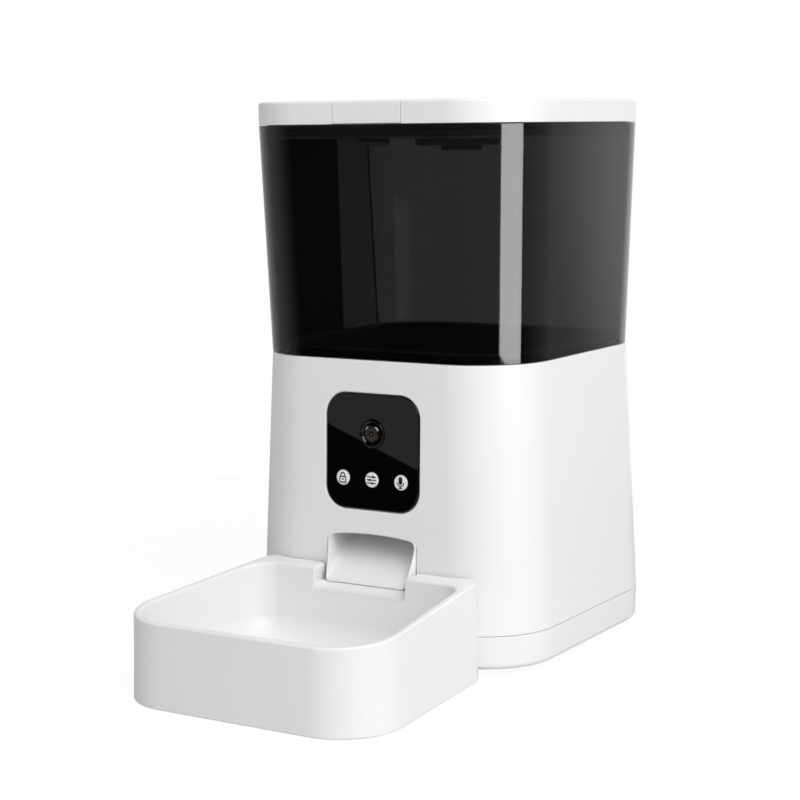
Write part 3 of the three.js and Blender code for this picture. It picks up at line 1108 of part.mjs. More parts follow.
// The frame's origin is on the floor, half way between the front of the bowl and the back of the body
root.position.y = (-(bowlFront - bowl.draft) - shell.bottomHalf) / 2;

export default root;
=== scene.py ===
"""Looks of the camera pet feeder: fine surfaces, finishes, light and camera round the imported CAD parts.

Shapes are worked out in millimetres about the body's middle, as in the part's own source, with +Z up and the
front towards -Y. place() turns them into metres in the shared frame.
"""

import json
import math

import bmesh
import bpy
from mathutils import Matrix, Vector


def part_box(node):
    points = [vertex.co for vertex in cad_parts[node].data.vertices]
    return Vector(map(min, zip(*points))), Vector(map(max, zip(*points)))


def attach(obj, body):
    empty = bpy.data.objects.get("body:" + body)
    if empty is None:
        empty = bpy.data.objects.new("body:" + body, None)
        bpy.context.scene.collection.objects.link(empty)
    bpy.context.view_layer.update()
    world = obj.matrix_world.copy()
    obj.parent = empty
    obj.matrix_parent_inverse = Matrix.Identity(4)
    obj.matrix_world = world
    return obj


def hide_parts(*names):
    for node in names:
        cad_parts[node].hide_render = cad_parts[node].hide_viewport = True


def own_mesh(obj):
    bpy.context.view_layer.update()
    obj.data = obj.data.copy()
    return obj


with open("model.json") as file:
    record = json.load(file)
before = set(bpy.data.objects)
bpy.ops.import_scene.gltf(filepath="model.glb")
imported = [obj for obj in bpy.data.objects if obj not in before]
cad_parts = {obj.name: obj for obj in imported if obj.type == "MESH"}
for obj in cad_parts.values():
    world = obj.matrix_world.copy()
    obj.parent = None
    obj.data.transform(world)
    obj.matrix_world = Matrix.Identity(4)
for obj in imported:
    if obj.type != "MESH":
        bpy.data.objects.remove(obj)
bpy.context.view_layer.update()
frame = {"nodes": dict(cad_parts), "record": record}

MM = 0.001
QUARTER = math.pi / 2
CORNER_STEPS = 20
BOWL_CORNER_STEPS = (20, 7, 7, 20)
FOUR_CORNERS = ((1, -1), (1, 1), (-1, 1), (-1, -1))

# The play between neighbours, and how far a cutter reaches past what it cuts
GAP = 0.3
OVERRUN = 2

# Points closer than these are one point, before and after the edges are rounded
WELD = 0.01
SLIVER = 0.002

# The body's middle lies behind the frame's origin by this much
BODY_SHIFT = 68.2

# Feet and tray, in millimetres from the floor up
FOOT_HEIGHT = 3.5
FOOT_RADIUS = 9
FOOT_POCKET = 1.2
FOOT_PLACE = (65.5, 60)
PLAN_CORNER = 43
TRAY_HALF = 94.4
TRAY_WALL = 3
TRAY_FLOOR = 2.5
TRAY_EDGE = 3
SEAM = 22.6
SLIT_Y = (51, 52)
SLIT_Z = (5.2, 12.7)
SLIT_DEPTH = 1.2
SCREW_PLACE = 77.1
SCREW_HOLE = 3.4
SCREW_HOLE_TOP = 7
SPEAKER_PLACE = (-14, -50)
SPEAKER_GRILLE = 15.6
SPEAKER_PITCH = 7.2
SPEAKER_ROWS = (-2, -1, 0, 1, 2)
SPEAKER_SLOT_HALF = 1
DOOR_END = 8

# Shell, deck and inlet
SHELL_TOP = 174.2
SHELL_BOTTOM_HALF = 94.8
SHELL_TOP_HALF = 89.4
SHELL_WALL = 3
SHELL_EDGE = 0.8
LEDGE_TOP = 152.4
LEDGE_HEIGHT = 3
LEDGE_REACH = 6
DECK_TOP = 155.2
INLET_PLACE = (40, 62)
INLET_RADIUS = 4.2

# Tank, lid and latch
TANK_TOP = 306.6
TANK_TOP_HALF = 93.5
TANK_WALL = 2.8
TANK_EDGE = 0.5
TANK_FLANGE = 11
FLANGE_THICKNESS = 2
SKIRT_PLAY = 0.5
SKIRT_WALL = 2.5
CATCH_HALF = 12
CATCH_TOP = 298.5
CATCH_HEIGHT = 1.2
CATCH_DEPTH = 1.6
LID_TOP = 320
LID_WALL = 2.6
LID_EDGE = 1.6
PLUG_HALF = 93.26
PLUG_BOTTOM = 300
PLUG_OUTSIDE = 4.6
PLUG_INSIDE = 6.6
KEEPER_OUTSIDE = 3.1
KEEPER_HEIGHT = 1.2
LATCH_HALF = 22.3
LATCH_SIDE_GAP = 0.35
LATCH_PLATE = 2.4
LATCH_LEG = 14
LATCH_TRAVEL = 2
TONGUE_HALF = 16
TONGUE_THICKNESS = 2.1
TONGUE_REACH = 28
RAIL = 2
RAIL_FOOT = 3
STOP_HALF = 10
STOP_THICKNESS = 2.4
SPRING_WIRE = 0.4
SPRING_RADIUS = 1.8
SPRING_LENGTH = 12
SPRING_TURNS = 6
SPRING_STEPS = 26
CUP_Y = 14
CUP_RADIUS = 28
CUP_WALL = 1.6
CUP_DEPTH = 20
CUP_SLOTS = 12
CUP_SLOT_HALF = 1.5
CUP_EDGE = 3

# Bowl, its notch and its tongue
BOWL_FRONT = -230.0
BOWL_REAR = -91.7
BOWL_FRONT_HALF = 83.4
BOWL_REAR_HALF = 71.5
BOWL_FRONT_CORNER = 32.8
BOWL_REAR_CORNER = 12
BOWL_WALL = 4.2
BOWL_REAR_WALL = 11.7
BOWL_CLEAR = 0.5
BOWL_REACH = 135.2
BOWL_RIM_FRONT = 46.9
BOWL_RIM_BACK = 55.9
BOWL_RIM_SLOPE = (BOWL_RIM_BACK - BOWL_RIM_FRONT) / BOWL_REACH
BOWL_OUTER_ROUND = 1.5
BOWL_INNER_ROUND = 1.6
BOWL_FOOT_EDGE = 1.0
BOWL_EDGE_ANGLE = 60
BOWL_DRAFT = 1.2
BOWL_UNDERSIDE = 8
BOWL_SKIRT = 5
BOWL_FLOOR_TOP = 11
BOWL_FLOOR_ROUND = 14
CAVITY_CORNER = 14
CAVITY_TIGHTENING = 0.25
HOLLOW_CORNER = 3
NOTCH_HALF = 30.6
NOTCH_DROP = 5.2
NOTCH_RUN = 5.6
NOTCH_ROUND = 2.2
BOWL_TONGUE = (28, 26)
BOWL_TONGUE_Z = (0.8, 3.0)

# Chute and its mouth in the shell
CHUTE_HALF = 27.9
CHUTE_LIP_HALF = 24.7
CHUTE_WALL = 2
CHUTE_FLOOR = 2.4
CHUTE_TIP = 1.2
CHUTE_SAG = 1.3
CHUTE_SETBACK = 1.2
CHUTE_FLARE = 1.4
LIP_TOP = 47.7
LIP_REACH = 7.2
MOUTH_TOP = 74.8
MOUTH_ARCH = 1.4
MOUTH_HALF = 30.2
MOUTH_CORNER = 5
CHUTE_TOP = 107.2
SLIDE_TOP_Y = -24.5
ROOF_TOP_Y = -57.5

# Front panel, camera and buttons
PANEL_HALF = 31
PANEL_HALF_HEIGHT = 33.3
PANEL_CORNER = 13
PANEL_THICKNESS = 1.5
PANEL_RECESS = 1.8
PANEL_EDGE = 0.7
RECESS_CHAMFER = 0.6
PANEL_CENTRE = 121.8
LENS_RISE = 10.7
LENS_RADIUS = 5.2
LENS_DOME = 1.1
BEZEL_RADIUS = 8
BEZEL_PROUD = 0.8
LENS_SEAT = 2.6
BUTTON_DROP = 15.8
BUTTON_RADIUS = 4.3
BUTTON_PROUD = 0.5
BUTTON_FLANGE = 1.3
BUTTON_FLANGE_Y = (3.3, 4.3)
BUTTON_NUB = 1.5
BUTTON_BACK = 5.2
BUTTON_XS = (-19.4, 0, 19.4)
BUTTON_NODES = ("button_lock", "button_set", "button_talk")
BUTTON_BODIES = ("lock_button", "set_button", "talk_button")
ICON_SCALE = 1.5
ICON_PROUD = 0.04
ICON_SUNK = 0.2

# How wide the edges are rounded, on the pieces made here and on the CAD nodes that are only refined
EDGES = {
    "base_tray": 0.35, "body_shell": 0.35, "chute": 0.25, "front_panel": 0.3, "camera_bezel": 0.12,
    "camera_lens": 0.05, "button": 0.08, "hopper_tank": 0.25, "lid": 0.3, "bowl": 0.4, "bowl_tongue": 0.5,
}
REFINED_EDGES = {
    "latch_button": 0.3, "lid_seal": 0.4, "desiccant_cap": 0.4, "metering_base": 0.4, "baffle": 0.4,
    "rotor": 0.4, "stirrer": 0.5, "tank_seat": 0.4, "battery_door": 0.3, "battery_box": 0.3,
    "power_inlet": 0.3, "speaker": 0.3, "gearbox_case": 0.3, "gearbox_cover": 0.3,
}

# Faces that meet at less than this, in degrees, are one flat face of a refined node
FLAT_ANGLE = 0.6

# The metal-coloured end of a cell's sleeve starts here
CELL_BAND_Y = 0.154

# The photograph's camera, in metres
CAMERA_PLACE = (0.59128, -0.95757, 0.30344)
CAMERA_RIGHT = (0.85352, 0.52095, -0.01056)
CAMERA_UP = (-0.06188, 0.12146, 0.99067)
CAMERA_AHEAD = (-0.51737, 0.8449, -0.1359)
CAMERA_LENS = 88.63
CAMERA_SENSOR = 36

# Two dark strips and a grey one glow here, beyond the left side, as painted shade and painted light that show
# only through the tank. Each edge has its y at the top and bottom.
SHADE_STRIPS_X = -250
SHADE_STRIPS_Z = (330, 120)
SHADE_STRIPS_EDGES = ((120, 120), (258, 266), (299, 316), (301.5, 318.5))
SHADE_STRIPS_GLOW = (0.05, 0.66, 0.05)
FLOOR_RADIUS = 620
FLOOR_Z = (-4, -0.02)


def lerp(z, z0, half0, z1, half1):
    return half0 + (half1 - half0) * (z - z0) / (z1 - z0)


def shell_half(z):
    return lerp(z, SEAM, SHELL_BOTTOM_HALF, SHELL_TOP, SHELL_TOP_HALF)


def tank_half(z):
    return lerp(z, SHELL_TOP, SHELL_TOP_HALF, TANK_TOP, TANK_TOP_HALF)


LEAN = math.atan((SHELL_BOTTOM_HALF - SHELL_TOP_HALF) / (SHELL_TOP - SEAM))
LIP_Y = -(shell_half(LIP_TOP) + LIP_REACH)
FACE = Matrix.Translation((0, -shell_half(PANEL_CENTRE), PANEL_CENTRE)) @ Matrix.Rotation(-LEAN, 4, "X")


def place(point):
    """A point in millimetres about the body's middle, in metres in the shared frame."""
    x, y, z = point
    return Vector((x * MM, (y + BODY_SHIFT) * MM, z * MM))


def on_face(point):
    """A point of the leaning front face, in metres: x across, y into the body, z up along the face."""
    return place(FACE @ Vector(point))


def grey(level):
    return (level, level, level)


class Nodes:
    """A short way to build the node tree of a material or of the world."""

    def __init__(self, name, owners=bpy.data.materials):
        self.owner = owners.new(name)
        self.owner.use_nodes = True
        self.tree = self.owner.node_tree
        self.shader = self.tree.nodes.get("Principled BSDF") or self.tree.nodes["Background"]
        coordinates = self.tree.nodes.new("ShaderNodeTexCoord").outputs
        self.position, self.direction = coordinates["Object"], coordinates["Generated"]

    def add(self, kind, inputs=None, **settings):
        node = self.tree.nodes.new(kind)
        for key, value in settings.items():
            setattr(node, key, value)
        for key, value in (inputs or {}).items():
            if isinstance(value, bpy.types.NodeSocket):
                self.tree.links.new(value, node.inputs[key])
            else:
                node.inputs[key].default_value = value
        return node

    def math(self, operation, first, second=0.0):
        return self.add("ShaderNodeMath", {0: first, 1: second}, operation=operation).outputs["Value"]

    def noise(self, scale, detail=2, stretch=(1, 1, 1)):
        """Noise between 0 and 1 over the object's own place, with scale in cycles per metre."""
        mapping = self.add("ShaderNodeMapping", {"Vector": self.position, "Scale": stretch})
        return self.add("ShaderNodeTexNoise", {"Vector": mapping.outputs["Vector"], "Scale": scale,
                                               "Detail": detail}).outputs["Fac"]

    def span(self, source, low, high, start=0, end=1, **settings):
        """The source, from start to end, spread over low to high."""
        limits = {"Value": source, "From Min": start, "From Max": end, "To Min": low, "To Max": high}
        return self.add("ShaderNodeMapRange", limits, **settings).outputs["Result"]

    def blend(self, share, first, second):
        mix = self.add("ShaderNodeMix", data_type="RGBA")
        self.tree.links.new(share, mix.inputs["Factor"])
        for index, colour in ((6, first), (7, second)):
            if isinstance(colour, bpy.types.NodeSocket):
                self.tree.links.new(colour, mix.inputs[index])
            else:
                mix.inputs[index].default_value = (*colour, 1)
        return mix.outputs[2]

    def bump(self, height, distance, strength=1):
        self.link(self.add("ShaderNodeBump", {"Height": height, "Distance": distance,
                                              "Strength": strength}).outputs["Normal"], "Normal")

    def link(self, source, socket):
        self.tree.links.new(source, self.shader.inputs[socket])

    def surface(self, share, first, second):
        """Shows the second shader by its share, and the first for the rest."""
        mix = self.add("ShaderNodeMixShader", {0: share, 1: first, 2: second})
        self.tree.links.new(mix.outputs["Shader"], self.tree.nodes["Material Output"].inputs["Surface"])

    def fix(self, **values):
        for key, value in values.items():
            self.shader.inputs[key.replace("_", " ")].default_value = value
        return self.owner


def moulded(name, colour, roughness, grain=2600, depth=2e-5, spread=0.02):
    """Injection-moulded plastic: a fine even grain, a faint drift of tone and of gloss."""
    nodes = Nodes(name)
    pale = tuple(min(1, channel * (1 + spread)) for channel in colour)
    deep = tuple(channel * (1 - spread) for channel in colour)
    nodes.link(nodes.blend(nodes.noise(18), deep, pale), "Base Color")
    nodes.link(nodes.span(nodes.noise(60, 4), roughness * 0.88, roughness * 1.12), "Roughness")
    nodes.bump(nodes.noise(grain, 3), depth, 0.5)
    return nodes.fix(IOR=1.5)


def smoked_plastic():
    """Clear plastic dyed nearly black. Each of a wall's two faces takes away its share of the light."""
    nodes = Nodes("smoked_plastic")
    nodes.link(nodes.blend(nodes.noise(9), (0.0012, 0.0012, 0.0014), (0.002, 0.002, 0.0022)), "Base Color")
    nodes.link(nodes.span(nodes.noise(35, 3), 0.02, 0.04), "Roughness")
    facing = nodes.add("ShaderNodeLayerWeight", {"Blend": 0.35}).outputs["Facing"]
    nodes.link(nodes.span(facing, 0.62, 0.81), "Alpha")
    nodes.bump(nodes.noise(14, 2, (1, 1, 0.3)), 1e-4, 0.2)
    return nodes.fix(IOR=1.52)


def gloss_black():
    nodes = Nodes("gloss_black")
    nodes.link(nodes.blend(nodes.noise(30), grey(0.0008), grey(0.0016)), "Base Color")
    nodes.link(nodes.span(nodes.noise(80, 3), 0.008, 0.02), "Roughness")
    return nodes.fix(IOR=1.5)


def lens_glass():
    """Coated glass over a brown-grey iris with a black pupil, with a small bright dot and two glints of a ring
    painted into its colour as highlights.
    """
    rings = ((0.12, grey(0.002)), (0.24, grey(0.003)), (0.34, (0.036, 0.032, 0.029)),
             (0.72, (0.026, 0.023, 0.021)), (0.84, grey(0.002)))
    # The two glints are painted highlights in the base colour, at this turn either side of the top and this
    # share of the radius
    glint_turn, glint_half_turn = math.radians(48), math.radians(17)
    glint_share, glint_half_share = 0.89, 0.07
    nodes = Nodes("lens_glass")
    middle = on_face((0, 0, LENS_RISE))
    offset = nodes.add("ShaderNodeVectorMath", {0: nodes.position, 1: middle}, operation="SUBTRACT")
    parts = nodes.add("ShaderNodeSeparateXYZ", {"Vector": offset.outputs["Vector"]}).outputs
    across = nodes.add("ShaderNodeVectorMath", {0: offset.outputs["Vector"], 1: (1, 0, 1)},
                       operation="MULTIPLY")
    reach = nodes.add("ShaderNodeVectorMath", {0: across.outputs["Vector"]}, operation="LENGTH")
    share = nodes.math("DIVIDE", reach.outputs["Value"], LENS_RADIUS * MM)
    ramp = nodes.add("ShaderNodeValToRGB", {"Fac": share})
    stops = ramp.color_ramp.elements
    # The first stop is a painted highlight: the small bright dot in the middle
    stops[0].position, stops[0].color = 0.06, (0.16, 0.155, 0.15, 1)
    stops[1].position, stops[1].color = 1, (*grey(0.001), 1)
    for position, colour in rings:
        stops.new(position).color = (*colour, 1)
    turn = nodes.math("ABSOLUTE", nodes.math("ARCTAN2", parts["X"], parts["Z"]))
    off_glint = nodes.math("ABSOLUTE", nodes.math("SUBTRACT", turn, glint_turn))
    off_ring = nodes.math("ABSOLUTE", nodes.math("SUBTRACT", share, glint_share))
    glint = nodes.math("MULTIPLY", nodes.math("LESS_THAN", off_glint, glint_half_turn),
                       nodes.math("LESS_THAN", off_ring, glint_half_share))
    nodes.link(nodes.blend(glint, ramp.outputs["Color"], (0.42, 0.41, 0.4)), "Base Color")
    nodes.link(nodes.span(nodes.noise(900), 0.03, 0.05), "Roughness")
    return nodes.fix(IOR=1.5, Specular_IOR_Level=0.2)


def brushed(name, colour, roughness, stretch=(1, 1, 30)):
    nodes = Nodes(name)
    streaks = nodes.noise(400, 3, stretch)
    dull = tuple(channel * 0.8 for channel in colour)
    nodes.link(nodes.blend(streaks, dull, colour), "Base Color")
    nodes.link(nodes.span(streaks, roughness * 0.8, roughness * 1.25), "Roughness")
    nodes.bump(streaks, 1e-5, 0.4)
    return nodes.fix(Metallic=1)


def circuit_board():
    """Green solder mask with paler copper tracks under it."""
    nodes = Nodes("circuit_board")
    tracks = nodes.add("ShaderNodeTexBrick", {
        "Vector": nodes.position, "Scale": 90, "Mortar Size": 0.03, "Color1": (0.008, 0.07, 0.022, 1),
        "Color2": (0.01, 0.085, 0.027, 1), "Mortar": (0.02, 0.16, 0.05, 1)}, offset=0.37)
    nodes.link(nodes.blend(nodes.span(nodes.noise(40), 0, 0.35), tracks.outputs["Color"],
                           (0.006, 0.045, 0.016)), "Base Color")
    nodes.link(nodes.span(nodes.noise(300), 0.3, 0.45), "Roughness")
    nodes.bump(tracks.outputs["Fac"], 3e-5, 0.5)
    return nodes.fix(IOR=1.5)


def cell_wrap():
    """A plain dark sleeve with a metal-coloured band at one end, and a faint seam."""
    nodes = Nodes("cell_wrap")
    along = nodes.add("ShaderNodeSeparateXYZ", {"Vector": nodes.position}).outputs["Y"]
    band = nodes.math("GREATER_THAN", along, CELL_BAND_Y)
    nodes.link(nodes.blend(band, (0.035, 0.038, 0.045), (0.3, 0.24, 0.16)), "Base Color")
    nodes.link(nodes.span(nodes.noise(200, 3), 0.25, 0.4), "Roughness")
    nodes.bump(nodes.noise(900, 2), 1e-5, 0.3)
    return nodes.fix(Metallic=0.25)


MATERIALS = {
    "white_plastic": moulded("white_plastic", grey(0.83), 0.36),
    "black_plastic": moulded("black_plastic", (0.004, 0.004, 0.0044), 0.4),
    "gloss_black": gloss_black(),
    "smoked_plastic": smoked_plastic(),
    "lens_glass": lens_glass(),
    "grey_rubber": moulded("grey_rubber", grey(0.42), 0.75, grain=1400, depth=4e-5, spread=0.08),
    "natural_plastic": moulded("natural_plastic", (0.68, 0.64, 0.54), 0.48),
    "circuit_board": circuit_board(),
    "steel": brushed("steel", (0.62, 0.62, 0.63), 0.28),
    "motor_can": brushed("motor_can", (0.5, 0.5, 0.51), 0.33),
    "cell_wrap": cell_wrap(),
    "desiccant_plastic": moulded("desiccant_plastic", (0.7, 0.7, 0.69), 0.5),
}
ICON_INK = moulded("icon_ink", grey(0.012), 0.6, grain=3000, depth=1e-5, spread=0.05)


def arc(cx, cy, radius, start, end, steps=CORNER_STEPS):
    return [(cx + radius * math.cos(start + (end - start) * i / steps),
             cy + radius * math.sin(start + (end - start) * i / steps)) for i in range(steps + 1)]


def quarter_turn(steps):
    """The angles of a quarter turn in so many steps."""
    return [QUARTER * i / steps for i in range(steps + 1)]


def fillet(radius, steps):
    """Pairs along a quarter round: how far it has gone one way, and how far it has yet to go the other."""
    return [(radius * (1 - math.cos(turn)), radius * (1 - math.sin(turn))) for turn in quarter_turn(steps)]


def circle(x, y, radius, steps=64):
    return arc(x, y, radius, 0, 2 * math.pi, steps)[:-1]


def rounded_plan(half_x, half_y, corner, steps=CORNER_STEPS):
    """A rounded rectangle, counter-clockwise from the front of its right side."""
    return [point for k, (sx, sy) in enumerate(FOUR_CORNERS)
            for point in arc(sx * (half_x - corner), sy * (half_y - corner), corner, (k - 1) * QUARTER,
                             k * QUARTER, steps)]


def square_plan(half, inset=0):
    return rounded_plan(half - inset, half - inset, PLAN_CORNER - inset)


def rounded_polygon(corners, steps=BOWL_CORNER_STEPS):
    """Rounds each corner (x, y, radius) of a convex counter-clockwise outline, in so many steps each."""
    points = []
    for i, ((x, y, radius), count) in enumerate(zip(corners, steps)):
        here = Vector((x, y))
        back = (Vector(corners[i - 1][:2]) - here).normalized()
        ahead = (Vector(corners[(i + 1) % len(corners)][:2]) - here).normalized()
        half_angle = back.angle(ahead) / 2
        middle = here + (back + ahead).normalized() * radius / math.sin(half_angle)
        start = math.atan2(-back.x, back.y) + math.pi
        points += arc(middle.x, middle.y, radius, start, start + math.pi - 2 * half_angle, count)
    return points


def arched(half, side_top, arch, steps=12, corner_steps=8):
    """The rounded, slightly arched top of the chute's mouth, from right to left."""
    flat = half - MOUTH_CORNER
    middle = [(flat * (1 - 2 * i / steps), side_top + arch * (1 - (1 - 2 * i / steps) ** 2))
              for i in range(1, steps)]
    return [*arc(flat, side_top - MOUTH_CORNER, MOUTH_CORNER, 0, QUARTER, corner_steps), *middle,
            *arc(-flat, side_top - MOUTH_CORNER, MOUTH_CORNER, QUARTER, 2 * QUARTER, corner_steps)]


def at(outline, z):
    return [(x, y, z) for x, y in outline]


def round_over(inset_start, z_start, radius, steps=5):
    """(inset, z) pairs up a quarter round, from an upright wall to a flat face."""
    return [(inset_start + radius * (1 - math.cos(turn)), z_start + radius * math.sin(turn))
            for turn in quarter_turn(steps)[1:]]


def piece(name, vertices, faces):
    mesh = bpy.data.meshes.new(name)
    mesh.from_pydata(vertices, [], faces)
    mesh.validate()
    obj = bpy.data.objects.new(name, mesh)
    bpy.context.scene.collection.objects.link(obj)
    return obj


def skin(name, rings, closed=False, where=place):
    """A skin over rings with as many points each. It gets flat ends, unless the rings close into a loop."""
    count = len(rings[0])
    vertices = [where(point) for ring in rings for point in ring]
    faces = []
    for k in range(len(rings) if closed else len(rings) - 1):
        low, high = k * count, (k + 1) % len(rings) * count
        faces += [(low + i, low + (i + 1) % count, high + (i + 1) % count, high + i) for i in range(count)]
    if not closed:
        faces.append(tuple(reversed(range(count))))
        faces.append(tuple(range(len(vertices) - count, len(vertices))))
    return piece(name, vertices, faces)


def slab(name, outline, near, far, where=on_face):
    """An outline of (x, z) points drawn along y, from near to far."""
    return skin(name, [[(x, y, z) for x, z in outline] for y in (far, near)], where=where)


def box(name, x, y, z):
    return skin(name, [at([(x[0], y[0]), (x[1], y[0]), (x[1], y[1]), (x[0], y[1])], level) for level in z])


def tube(name, radius, z0, z1, x=0, y=0):
    return skin(name, [at(circle(x, y, radius), z0), at(circle(x, y, radius), z1)])


def bake(obj):
    """Applies the modifiers."""
    mesh = bpy.data.meshes.new_from_object(obj.evaluated_get(bpy.context.evaluated_depsgraph_get()))
    obj.modifiers.clear()
    obj.data = mesh
    return obj


def combine(obj, others, operation):
    for other in others:
        modifier = obj.modifiers.new(other.name, "BOOLEAN")
        modifier.operation = operation
        modifier.solver = "EXACT"
        modifier.object = other
    bake(obj)
    for other in others:
        bpy.data.objects.remove(other)
    return obj


def carve(obj, *cutters):
    return combine(obj, cutters, "DIFFERENCE")


def join(obj, *others):
    return combine(obj, others, "UNION")


def edited(obj, change):
    """Runs a change on the piece's mesh."""
    edit = bmesh.new()
    edit.from_mesh(obj.data)
    change(edit)
    edit.to_mesh(obj.data)
    edit.free()
    return obj


def face_outwards(obj):
    return edited(obj, lambda edit: bmesh.ops.recalc_face_normals(edit, faces=edit.faces))


def clean_up(edit):
    bmesh.ops.remove_doubles(edit, verts=edit.verts, dist=WELD * MM)
    bmesh.ops.dissolve_degenerate(edit, edges=edit.edges, dist=WELD * MM)
    for face in edit.faces:
        face.smooth = True


def drop_slivers(edit):
    """Takes away the double faces without thickness that rounding can leave where edges meet."""
    bmesh.ops.remove_doubles(edit, verts=edit.verts, dist=SLIVER * MM)
    bmesh.ops.dissolve_degenerate(edit, edges=edit.edges, dist=SLIVER * MM)
    by_corners = {}
    for face in edit.faces:
        by_corners.setdefault(frozenset(face.verts), []).append(face)
    doubled = [face for faces in by_corners.values() if len(faces) > 1 for face in faces]
    bmesh.ops.delete(edit, geom=doubled, context="FACES")


def soften(obj, width, angle=32, segments=3, clamp=False):
    """Rounds the edges sharper than the angle and shades the rest smooth."""
    edited(obj, clean_up)
    if width:
        modifier = obj.modifiers.new("edges", "BEVEL")
        modifier.width = width * MM
        modifier.segments = segments
        modifier.limit_method = "ANGLE"
        modifier.angle_limit = math.radians(angle)
        modifier.use_clamp_overlap = clamp
        modifier.miter_outer = "MITER_ARC"
        edited(bake(obj), drop_slivers)
    weighted = obj.modifiers.new("normals", "WEIGHTED_NORMAL")
    weighted.keep_sharp = True
    return bake(obj)


def dress(obj, body, material, *nodes):
    """Gives a piece its finish, puts it on its body and lets it stand for CAD nodes."""
    obj.data.materials.clear()
    obj.data.materials.append(MATERIALS[material] if isinstance(material, str) else material)
    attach(obj, body)
    if nodes:
        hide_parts(*nodes)
    return obj


SLOT_OF = {row["node"]: row["material_slot"] for row in frame["record"]["subparts"]}
BODY_OF = {node: body for body, nodes in frame["record"]["behaviour"]["bodies"].items() for node in nodes}


def make_refined(node, width):
    """A copy of a CAD node with its flat faces made whole and its edges rounded."""
    def merge_flats(edit):
        bmesh.ops.remove_doubles(edit, verts=edit.verts, dist=SLIVER * MM)
        bmesh.ops.dissolve_limit(edit, angle_limit=math.radians(FLAT_ANGLE), verts=edit.verts,
                                 edges=edit.edges)

    obj = bpy.data.objects.new(f"{node}_fine", frame["nodes"][node].data.copy())
    bpy.context.scene.collection.objects.link(obj)
    edited(obj, merge_flats)
    for attribute in [a for a in obj.data.attributes if a.name == "custom_normal"]:
        obj.data.attributes.remove(attribute)
    dress(soften(obj, width, segments=2, clamp=True), BODY_OF[node], SLOT_OF[node], node)


def panel_ring(y, grow):
    """The front panel's outline, grown by a margin, at a depth into the leaning face."""
    outline = rounded_plan(PANEL_HALF + grow, PANEL_HALF_HEIGHT + grow, PANEL_CORNER + grow)
    return [(x, y, z) for x, z in outline]


def face_holes(depth):
    """Cutters for the camera and the buttons through the leaning face, down to a depth."""
    places = [(BEZEL_RADIUS, 0, LENS_RISE), *((BUTTON_RADIUS, x, -BUTTON_DROP) for x in BUTTON_XS)]
    return [slab(f"hole_{i}", circle(x, rise, radius + GAP), -OVERRUN, depth + OVERRUN)
            for i, (radius, x, rise) in enumerate(places)]


def make_tray():
    """The tray is rounded first and pierced afterwards, so that its flat underside stays whole."""
    rings = [at(square_plan(TRAY_HALF, inset), FOOT_HEIGHT + rise) for rise, inset in fillet(TRAY_EDGE, 6)]
    rings += [at(square_plan(SHELL_BOTTOM_HALF), SEAM), at(square_plan(SHELL_BOTTOM_HALF, TRAY_WALL), SEAM),
              at(square_plan(TRAY_HALF, TRAY_WALL), FOOT_HEIGHT + TRAY_FLOOR)]
    tray = soften(skin("base_tray_fine", rings), EDGES["base_tray"])
    under, above = FOOT_HEIGHT - OVERRUN, FOOT_HEIGHT + TRAY_FLOOR + OVERRUN
    slit = box("slit", (TRAY_HALF - SLIT_DEPTH, TRAY_HALF + OVERRUN), SLIT_Y, SLIT_Z)
    door_low, door_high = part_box("battery_door")
    door_half = door_high.x / MM + GAP
    opening = box("opening", (-door_half, door_half),
                  (door_low.y / MM - BODY_SHIFT - GAP, TRAY_HALF + OVERRUN), (under, above))
    end = box("end", (-door_half, door_half), (TRAY_HALF - DOOR_END, TRAY_HALF + OVERRUN),
              (under, door_high.z / MM + GAP))
    holes = []
    for i, (sx, sy) in enumerate(FOUR_CORNERS):
        holes.append(tube(f"pocket_{i}", FOOT_RADIUS + GAP, under, FOOT_HEIGHT + FOOT_POCKET + GAP,
                          sx * FOOT_PLACE[0], sy * FOOT_PLACE[1]))
        holes.append(tube(f"screw_hole_{i}", SCREW_HOLE, under, SCREW_HOLE_TOP, sx * SCREW_PLACE,
                          sy * SCREW_PLACE))
    middle_x, middle_y = SPEAKER_PLACE
    for row in SPEAKER_ROWS:
        shift = row * SPEAKER_PITCH
        half = math.sqrt(SPEAKER_GRILLE ** 2 - shift ** 2) - OVERRUN
        holes.append(box(f"sound_slot_{row}", (middle_x - half, middle_x + half),
                         (middle_y + shift - SPEAKER_SLOT_HALF, middle_y + shift + SPEAKER_SLOT_HALF),
                         (under, above)))
    carve(tray, slit, opening, end, *holes)
    dress(soften(tray, 0), "base", "white_plastic", "base_tray")


